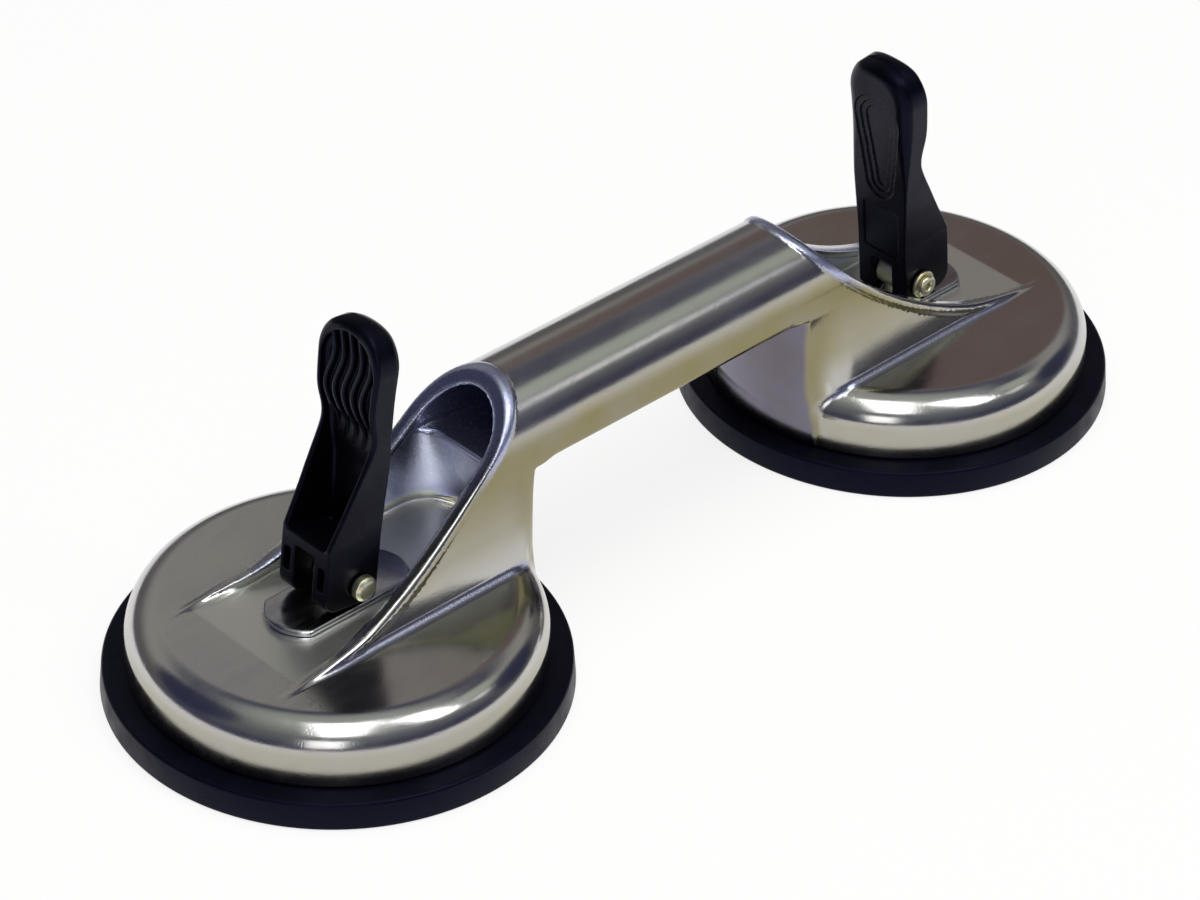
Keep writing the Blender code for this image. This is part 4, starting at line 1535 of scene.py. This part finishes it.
@dataclass
class PivotRivet:
    """The semi-tubular rivet through lever and stud, and the washer under its tail."""

    shank: float = 2.0
    head_radius: float = 3.4
    head_height: float = 2.8
    head_face: float = 9.45
    tail_face: float = 10.55
    tail_radius: float = 3.1
    tail_height: float = 1.5
    bore: float = 1.1
    bore_depth: float = 3.0
    washer_radius: float = 3.9
    washer_face: float = 9.45
    washer_thickness: float = 0.8
    washer_bore: float = 2.3
    columns: int = 48

    def rivet_profile(self) -> Array:
        """Section of the rivet along its axis: domed head, shank, rolled tail and its bore.

        Returns:
            (radius, distance along the axis) points.
        """
        low = -self.head_face - self.head_height
        high = self.tail_face + self.tail_height
        corners = [
            (0.0, low, 0.0),
            (self.head_radius - 0.9, low + 0.2, 1.0),
            (self.head_radius, low + 0.95, 0.4),
            (self.head_radius, -self.head_face, 0.2),
            (self.shank, -self.head_face, 0.1),
            (self.shank, self.tail_face, 0.1),
            (self.tail_radius, self.tail_face, 0.5),
            (self.tail_radius - 0.1, high - 0.2, 0.7),
            (self.bore, high, 0.5),
            (self.bore, high - self.bore_depth, 0.2),
            (0.0, high - self.bore_depth - 0.3, 0.0),
        ]
        return rounded_profile(corners, 6, closed=False)

    def washer_profile(self) -> Array:
        """Section of the washer, closed, with its edges eased.

        Returns:
            (radius, distance along the axis) points.
        """
        low = self.washer_face
        high = low + self.washer_thickness
        corners = [
            (self.washer_bore, low, 0.1),
            (self.washer_radius, low, 0.15),
            (self.washer_radius, high, 0.25),
            (self.washer_bore, high, 0.2),
        ]
        return rounded_profile(corners, 4, closed=True)

    def build(self, head: Head, finishes: Finishes) -> None:
        """Turn both sections, lay them across the lever and dress them.

        Args:
            head: The head that they belong to.
            finishes: The finishes.
        """
        body = f"{head.value}_cam"
        points, faces = turned_solid(self.rivet_profile(), self.columns)
        world = head.place(leaned(laid_across(points)))
        rivet = mesh_piece(f"{head.value}_lever_rivet", world, faces)
        dress(rivet, finishes.zinc, body, "zinc", f"{head.value}_pivot_rivet")
        profile = self.washer_profile()
        ring = turned_points(profile, self.columns)
        quads = grid_faces(len(profile), self.columns, rows_close=True)
        world = head.place(leaned(laid_across(ring)))
        washer = mesh_piece(f"{head.value}_lever_washer", world, quads.tolist())
        dress(washer, finishes.zinc, body, "zinc", f"{head.value}_rivet_washer")


@dataclass
class Lever:
    """The moulded cam lever: forked foot, sloping web, deep trough, wavy ribs and thumb rest.

    It is one field in the lever's frame: forward from the rivet, across, and up.
    """

    sole: float = 5.5
    back: float = 5.9
    front: float = 11.2
    toe_radius: float = 4.416
    heel_radius: float = 1.2
    length: float = 71.8
    tip_radius: float = 4.4
    foot_half_width: float = 9.15
    grip_half_width: float = 11.5
    grip_swell: float = 0.8
    grip_heights: Pair = (34.0, 60.0)
    knee: float = 13.2
    edge: float = 1.0
    grip_edge: float = 4.3
    front_edge: float = 2.0
    edge_heights: Pair = (30.0, 56.0)
    flange: float = 1.9
    trough_floor: float = -3.4
    trough_top: float = 68.0
    trough_rise: Pair = (29.0, 46.0)
    trough_round: float = 1.2
    trough_lip: float = 0.55
    trim: float = 0.3
    groove: float = 2.2
    fork: float = 3.6
    fork_round: float = 0.4
    fork_edge: float = 0.3
    web_high: float = 9.75
    web_low: float = 6.0
    web_thickness: float = 3.2
    web_overrun: float = 2.0
    web_round: float = 1.0
    rib_pitch: float = 3.3
    rib_half_width: float = 0.65
    rib_count: int = 5
    rib_start: float = 36.0
    rib_growth: float = 9.0
    rib_setback: float = 0.5
    rib_round: float = 0.5
    rib_root: float = 1.0
    rib_low: float = 0.35
    rib_bite: float = 0.4
    rib_fillet: float = 0.35
    rib_wave: float = 1.15
    rib_wave_length: float = 20.0
    recess_heights: Pair = (33.0, 53.4)
    recess_steps: tuple[Pair, ...] = ((0.0, 0.45), (1.8, 0.85), (3.6, 1.25))
    recess_half_width: float = 5.0
    recess_widening: float = 3.0
    panel_half: Pair = (6.2, 7.6)
    panel_centre: float = 17.0
    panel_depth: float = 0.35
    panel_round: float = 0.8
    crisp: float = 0.15
    window_centre: float = 4.2
    window_half: Pair = (1.15, 3.2)
    window_floor: float = 5.2
    window_round: float = 0.3
    window_edge: float = 0.25
    rivet_hole: float = 2.3
    cell: float = 0.36
    knots: tuple[Pair, ...] = (
        (11.2, 13.2),
        (5.4, 26.6),
        (0.8, 40.0),
        (2.6, 51.0),
        (2.1, 67.4),
    )

    def __post_init__(self) -> None:
        """Sample the front's curve once, finely, with its knee rounded.

        The curve passes through the knots as a Catmull-Rom spline: between two knots it is a
        cubic whose slope at each is half the step between that knot's two neighbours.
        """
        knots = np.array([self.knots[0], *self.knots, self.knots[-1]])
        share = np.linspace(0.0, 1.0, 60, endpoint=False)[:, None]
        parts = []
        for before, start, end, after in zip(knots, knots[1:], knots[2:], knots[3:]):
            linear = (end - before) * share / 2.0
            square = (before * 2.0 - start * 5.0 + end * 4.0 - after) * share ** 2 / 2.0
            cube = (start * 3.0 - before - end * 3.0 + after) * share ** 3 / 2.0
            parts.append(start + linear + square + cube)
        curve = np.concatenate(parts)
        self.heights = np.arange(-10.0, 80.0, 0.1)
        raw = np.interp(self.heights, curve[:, 1], curve[:, 0], left=self.front, right=curve[-1, 0])
        kernel = np.hanning(19)
        padded = np.pad(raw, 9, mode="edge")
        self.fronts = np.convolve(padded, kernel / kernel.sum(), mode="valid")

    def front_at(self, z: Array) -> Array:
        """Front face of the lever at each height, from the sampled curve."""
        return np.interp(z, self.heights, self.fronts)

    def half_at(self, z: Array) -> Array:
        """Half-width at each height: the foot's, widening evenly from the knee to the grip.

        Args:
            z: Heights.

        Returns:
            The half-widths.
        """
        centre = self.length - self.grip_half_width
        widening = self.grip_half_width - self.foot_half_width
        share = np.clip((z - self.knee) / (centre - self.knee), 0.0, 1.0)
        return self.foot_half_width + widening * share

    def back_at(self, z: Array) -> Array:
        """Depth of the back behind the rivet, which swells a little behind the grip."""
        return self.back + self.grip_swell * eased(z, *self.grip_heights)

    def plan(self, y: Array, z: Array, inset: float) -> Array:
        """Distance to the lever's outline seen from the front.

        Its sides widen from foot to grip, and its end is half a circle.

        Args:
            y: Distances across.
            z: Heights.
            inset: How far the outline is set in.

        Returns:
            Distances, negative inside.
        """
        centre = self.length - self.grip_half_width
        round_end = np.hypot(y, np.maximum(z - centre, 0.0)) - self.grip_half_width
        return np.where(z > centre, round_end, np.abs(y) - self.half_at(z)) + inset

    def trough_plan(self, y: Array, z: Array) -> Array:
        """Distance to the trough's outline seen from the front: straight sides, round end.

        Args:
            y: Distances across.
            z: Heights.

        Returns:
            Distances, negative inside.
        """
        half = self.half_at(z) - self.flange
        end = self.grip_half_width - self.flange
        round_end = np.hypot(y, np.maximum(z - self.trough_top + end, 0.0)) - end
        return np.where(z > self.trough_top - end, round_end, np.abs(y) - half)

    def web_rise(self) -> Pair:
        """What the web rises towards the front, and the length over which it does."""
        return self.web_high - self.web_low, self.front + self.back + 2.0 * self.web_overrun

    def trough(self, x: Array, y: Array, z: Array) -> Array:
        """The hollow between the flanges, over the web, which shallows into the grip's groove.

        Args:
            x, y, z: Coordinates in the lever's frame.

        Returns:
            Distances, negative inside.
        """
        shallow = self.front_at(z) - self.groove
        share = eased(z, *self.trough_rise)
        floor = self.trough_floor + (shallow - self.trough_floor) * share
        sides = shared(self.trough_plan(y, z), floor - x, self.trough_round)
        rise, run = self.web_rise()
        ahead = x - self.front - self.web_overrun
        web = self.web_high + self.web_thickness + ahead * (rise / run)
        return shared(sides, web - z, self.web_round)

    def ribs(self, x: Array, y: Array, z: Array) -> Array:
        """Wavy ribs: walls whose middle swings as a sine of the height, with round crests.

        Args:
            x, y, z: Coordinates in the lever's frame.

        Returns:
            Distances, negative inside.
        """
        root = self.trough_floor - self.rib_root
        swing = self.rib_wave * np.sin(math.tau * (z - self.rib_start) / self.rib_wave_length)
        growth = np.clip((z - self.rib_start) / self.rib_growth, 0.0, 1.0)
        share = self.rib_low + (1.0 - self.rib_low) * growth
        crest = root + (self.front_at(z) - self.rib_setback - root) * share
        first = -self.rib_pitch * (self.rib_count - 1) / 2.0
        nearest = np.clip(np.round((y - swing - first) / self.rib_pitch), 0, self.rib_count - 1)
        middle = first + nearest * self.rib_pitch + swing
        rib = shared(np.abs(y - middle) - self.rib_half_width, x - crest, self.rib_round)
        rib = np.maximum(rib, np.maximum(root - x, self.rib_start - z))
        return np.maximum(rib, self.trough_plan(y, z) - self.rib_bite)

    def thumb_rest(self, x: Array, y: Array, z: Array) -> Array:
        """Hollows of the back: three racetracks, each a little deeper, and the panel below them.

        Args:
            x, y, z: Coordinates in the lever's frame.

        Returns:
            Distances, negative inside.
        """
        low, high = self.recess_heights
        along = np.clip((z - low) / (high - low), 0.0, 1.0)
        panel_across, panel_up = self.panel_half
        panel_above = np.abs(z - self.panel_centre) - panel_up
        panel = shared(np.abs(y) - panel_across, panel_above, self.panel_round)
        recess = shared(panel, x + self.back - self.panel_depth, self.crisp)
        for inset, depth in self.recess_steps:
            half = self.recess_half_width + self.recess_widening * along - inset
            track = np.hypot(y, z - low - along * (high - low)) - half
            step = shared(track, x + self.back_at(z) - depth, self.crisp)
            recess = np.minimum(recess, step)
        return recess

    def windows(self, x: Array, y: Array, z: Array) -> Array:
        """Blind pocket in the front of each cheek.

        Args:
            x, y, z: Coordinates in the lever's frame.

        Returns:
            Distances, negative inside.
        """
        cheek = (self.fork + self.foot_half_width) / 2.0
        across = np.abs(np.abs(y) - cheek) - self.window_half[0]
        upright = np.abs(z - self.window_centre) - self.window_half[1]
        opening = shared(across, upright, self.window_round)
        return shared(opening, self.window_floor - x, self.window_round)

    def profile(self, x: Array, z: Array) -> tuple[Array, Array]:
        """Distance to the lever's outline seen from the side, and the radius of its long edges.

        The outline runs between front and back, ends in a round tip, and is cut by the sole
        with a large round at the toe and a small one at the heel.

        Args:
            x: Distances forward.
            z: Heights.

        Returns:
            Distances, negative inside, and the radii.
        """
        slope = (self.front_at(z + 0.2) - self.front_at(z - 0.2)) / 0.4
        ahead = (x - self.front_at(z)) / np.sqrt(1.0 + slope ** 2)
        back = self.back_at(z)
        middle, tip = self.tip_radius - back, self.length - self.tip_radius
        cap = np.hypot(x - middle, np.maximum(z - self.length + self.tip_radius, 0.0))
        side = np.where(z > tip, cap - self.tip_radius, np.maximum(ahead, -back - x))
        corner = np.where(x > 0.0, self.toe_radius, self.heel_radius)
        soft = self.edge + (self.grip_edge - self.edge) * eased(z, *self.edge_heights)
        soft = np.where(x < middle, soft, np.minimum(soft, self.front_edge))
        return shared(side, -self.sole - z, corner), soft

    def body(self, x: Array, y: Array, z: Array) -> Array:
        """Distance to the whole lever.

        The outline seen from the side and the one seen from the front share it. The trough is
        cut, the ribs are put in, and the fork, windows, thumb rest and rivet hole are cut.

        Args:
            x, y, z: Coordinates in the lever's frame.

        Returns:
            Distances, negative inside.
        """
        side, soft = self.profile(x, z)
        lever = shared(side, self.plan(y, z, 0.0), soft)
        lever = shared(lever, -self.trough(x, y, z), self.trough_lip)
        lever = joined(lever, self.ribs(x, y, z), self.rib_fillet)
        lever = np.maximum(lever, self.plan(y, z, self.trim))
        rise, run = self.web_rise()
        under = self.web_low + (x + self.back + self.web_overrun) * rise / run
        slot = shared(np.abs(y) - self.fork, z - under, self.fork_round)
        lever = shared(lever, -slot, self.fork_edge)
        lever = shared(lever, -self.windows(x, y, z), self.window_edge)
        lever = shared(lever, -self.thumb_rest(x, y, z), self.crisp)
        return np.maximum(lever, self.rivet_hole - np.hypot(x, z))

    def axes(self) -> tuple[Array, Array, Array]:
        """Grid planes round the lever, shifted a little to keep them off its flat faces.

        Returns:
            The planes' places forward, across and up.
        """
        deep = np.arange(-7.8, 12.6, self.cell) + 0.011
        across = np.arange(-12.6, 12.9, self.cell) + 0.007
        up = np.arange(-6.6, 75.4, self.cell) + 0.013
        return deep, across, up

    def build(self, finishes: Finishes) -> None:
        """Build the lever once, and place and dress it on both heads.

        Args:
            finishes: The finishes.
        """
        skin = Skin(self.body, self.axes(), even_rounds=2)
        faces = skin.quads.tolist()
        tips = skin.points + skin.normals()
        for head in Head:
            world = head.place(leaned(skin.points))
            normals = head.place(leaned(tips)) - world
            piece = mesh_piece(f"{head.value}_cam_lever", world, faces, normals)
            dress(piece, finishes.plastic, f"{head.value}_cam", "plastic", f"{head.value}_lever")


@dataclass
class HiddenSteel:
    """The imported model's own stud, disc and nut of each head, which stay and get finishes."""

    parts: tuple[tuple[str, str], ...] = (
        ("draw_stud", "zinc"),
        ("anchor_disc", "disc"),
        ("stud_locknut", "zinc"),
    )

    def build(self, head: Head, finishes: Finishes) -> None:
        """Give each carried-over node its finish.

        Args:
            head: The head that it belongs to.
            finishes: The finishes.
        """
        for node, finish in self.parts:
            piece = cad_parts[f"{head.value}_{node}"]
            piece.data.materials.clear()
            piece.data.materials.append(getattr(finishes, finish))
            LOG.info("%s: finish %s", piece.name, finish)


# ---------------------------------------------------------------------------
# Studio, whose places and sizes are in metres
# ---------------------------------------------------------------------------


@dataclass(frozen=True)
class Flag:
    """A round patch of the room with a tone of its own, which polished metal shows.

    It is full out to one angle from its direction and gone at the other, in degrees.
    """

    towards: Triple
    full: float
    fade: float
    colour: Triple


@dataclass(frozen=True)
class Lamp:
    """A rectangular lamp that faces the object; the camera doesn't see it."""

    name: str
    place: Triple
    size: Pair
    watts: float
    mirrored: bool = True

    def hang(self) -> None:
        """Add the lamp to the scene."""
        data = bpy.data.lights.new(self.name, "AREA")
        data.shape = "RECTANGLE"
        data.size, data.size_y = self.size
        data.energy = self.watts
        made = bpy.data.objects.new(self.name, data)
        made.location = self.place
        made.rotation_mode = "QUATERNION"
        made.rotation_quaternion = Vector(self.place).normalized().to_track_quat("Z", "Y")
        made.visible_glossy = self.mirrored
        made.visible_camera = False
        bpy.context.scene.collection.objects.link(made)


@dataclass
class Studio:
    """Pale floor, soft lamps, dim room and the camera at the photograph's angle.

    The room's tones follow the height of the direction looked in, from 0 level to 1 overhead,
    for the side behind the object and for the side before it.
    """

    camera_place: Triple = (-0.65285, -0.65931, 0.69091)
    camera_target: Triple = (0.01496, 0.02653, 0.0)
    camera_roll: float = math.radians(1.354)
    lens: float = 130.73
    sensor_width: float = 36.0
    clip_end: float = 50.0
    floor_half: float = 8.0
    floor_colour: Triple = (0.82, 0.81, 0.79)
    floor_glow: float = 0.82
    turnover: float = 0.35
    behind: Tones = (
        (0.0, (0.10, 0.10, 0.12)),
        (0.30, (0.15, 0.14, 0.14)),
        (0.52, (0.34, 0.335, 0.315)),
        (0.68, (0.34, 0.335, 0.315)),
        (0.79, (0.08, 0.08, 0.12)),
        (0.85, (0.08, 0.08, 0.12)),
        (0.94, (0.36, 0.38, 0.35)),
        (1.0, (0.40, 0.42, 0.38)),
    )
    before: Tones = (
        (0.0, (0.06, 0.06, 0.12)),
        (0.20, (0.06, 0.06, 0.11)),
        (0.36, (0.11, 0.12, 0.14)),
        (0.60, (0.15, 0.16, 0.17)),
        (0.80, (0.24, 0.26, 0.24)),
        (1.0, (0.40, 0.42, 0.38)),
    )
    flags: tuple[Flag, ...] = (
        Flag((-0.62, 0.52, 0.59), 17.0, 27.0, (0.035, 0.04, 0.08)),
        Flag((0.84, -0.37, 0.39), 12.0, 21.0, (0.035, 0.04, 0.08)),
        Flag((0.70, 0.45, 0.56), 8.0, 17.0, (0.15, 0.112, 0.102)),
        Flag((0.565, -0.36, 0.742), 5.0, 13.0, (0.46, 0.50, 0.43)),
    )
    lamps: tuple[Lamp, ...] = (
        Lamp("overhead", (0.0, 0.0, 1.9), (1.6, 1.6), 26.0, mirrored=False),
        Lamp("key", (-0.60, -0.67, 1.80), (0.66, 1.5), 9.0),
        Lamp("fill", (0.38, -1.05, 1.66), (0.42, 1.0), 8.0),
        Lamp("low", (-1.14, -0.99, 0.52), (0.45, 0.6), 1.6),
        Lamp("edge", (1.08, -1.20, 1.18), (0.35, 0.25), 0.22),
    )

    def add_camera(self) -> None:
        """Place the camera: aimed at its target, then rolled about its line of sight."""
        data = bpy.data.cameras.new("camera")
        data.lens = self.lens
        data.sensor_width = self.sensor_width
        data.sensor_fit = "HORIZONTAL"
        data.clip_end = self.clip_end
        made = bpy.data.objects.new("camera", data)
        place = Vector(self.camera_place)
        back = (place - Vector(self.camera_target)).normalized()
        level = Vector((0.0, 0.0, 1.0)).cross(back).normalized()
        upright = back.cross(level)
        cos, sin = math.cos(self.camera_roll), math.sin(self.camera_roll)
        right = level * cos + upright * sin
        up = upright * cos - level * sin
        turn = Matrix((right, up, back)).transposed().to_4x4()
        made.matrix_world = Matrix.Translation(place) @ turn
        bpy.context.scene.collection.objects.link(made)
        bpy.context.scene.camera = made

    def add_floor(self) -> None:
        """Lay the floor: matt and pale, and near white to the camera, metal and glass."""
        half = self.floor_half
        corners = [(-half, -half, 0.0), (half, -half, 0.0), (half, half, 0.0), (-half, half, 0.0)]
        mesh = bpy.data.meshes.new("floor")
        mesh.from_pydata(corners, [], [(0, 1, 2, 3)])
        floor = bpy.data.objects.new("floor", mesh)
        bpy.context.scene.collection.objects.link(floor)
        material = bpy.data.materials.new("pale_floor")
        material.use_nodes = True
        material.node_tree.nodes.clear()
        kit = NodeKit(material.node_tree)
        matt = kit.node("BsdfDiffuse", {"Color": self.floor_colour}).outputs["BSDF"]
        glow = kit.node("Emission", {"Color": (1.0, 1.0, 1.0)}).outputs["Emission"]
        mixed = kit.node("MixShader", {"Fac": self._seen(kit), 1: matt, 2: glow})
        kit.node("OutputMaterial", {"Surface": mixed.outputs["Shader"]})
        mesh.materials.append(material)

    def _seen(self, kit: NodeKit) -> Socket:
        """Share of the floor's glow, for rays from the camera, from metal and through glass.

        Args:
            kit: The floor's nodes.

        Returns:
            The share, which is 0 for other rays.
        """
        rays = kit.node("LightPath").outputs
        total = rays["Is Camera Ray"]
        for name in ("Is Glossy Ray", "Is Transmission Ray"):
            total = kit.combined(total, rays[name], "MAXIMUM")
        return kit.combined(total, self.floor_glow, "MULTIPLY")

    def _ramp(self, kit: NodeKit, height: Socket, tones: Tones) -> Socket:
        """Run through tones with the height of a direction.

        Args:
            kit: The room's nodes.
            height: The direction's height.
            tones: The tones and their heights, rising.

        Returns:
            The tone.
        """
        ramp = kit.node("ValToRGB", {"Fac": height})
        stops = ramp.color_ramp.elements
        for stop, (place, colour) in zip(stops, (tones[0], tones[-1])):
            stop.position, stop.color = place, (*colour, 1.0)
        for place, colour in tones[1:-1]:
            stops.new(place).color = (*colour, 1.0)
        return ramp.outputs["Color"]

    def add_room(self) -> None:
        """Make the dim room: one side behind the object, one before it, and the flags on both."""
        world = bpy.data.worlds.new("room")
        bpy.context.scene.world = world
        world.use_nodes = True
        kit = NodeKit(world.node_tree)
        towards = kit.node("TexCoord").outputs["Generated"]
        parts = kit.node("SeparateXYZ", {"Vector": towards}).outputs
        ahead = kit.combined(parts["X"], parts["Y"])
        share = kit.spread(ahead, (-self.turnover, self.turnover), easing="SMOOTHSTEP")
        before = self._ramp(kit, parts["Z"], self.before)
        behind = self._ramp(kit, parts["Z"], self.behind)
        tone = kit.blend(share, before, behind)
        for flag in self.flags:
            middle = Vector(flag.towards).normalized()
            facing = kit.node("VectorMath", {0: towards, 1: middle}, operation="DOT_PRODUCT")
            limits = tuple(math.cos(math.radians(angle)) for angle in (flag.fade, flag.full))
            shown = kit.spread(facing.outputs["Value"], limits, easing="SMOOTHSTEP")
            tone = kit.blend(shown, tone, flag.colour)
        kit.put(world.node_tree.nodes["Background"].inputs["Color"], tone)

    def build(self) -> None:
        """Set the stage."""
        bpy.context.scene.view_settings.view_transform = "Standard"
        self.add_camera()
        self.add_floor()
        self.add_room()
        for lamp in self.lamps:
            lamp.hang()


def main() -> None:
    """Build the lifter's looks in order, logging the faces of each new piece."""
    logging.basicConfig(level=logging.INFO, format="%(name)s: %(message)s")
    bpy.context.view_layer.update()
    Studio().build()
    finishes = Finishes.build()
    Casting().build(finishes)
    Lever().build(finishes)
    for head in Head:
        RubberPad().build(head, finishes)
        plate = SaddlePlate(f"{head.value}_cam_plate", base=26.1, top=27.6)
        dress(plate.piece(head), finishes.plate, "frame", "steel", f"{head.value}_saddle_plate")
        PivotRivet().build(head, finishes)
        HiddenSteel().build(head, finishes)


if __name__ == "__main__":
    main()
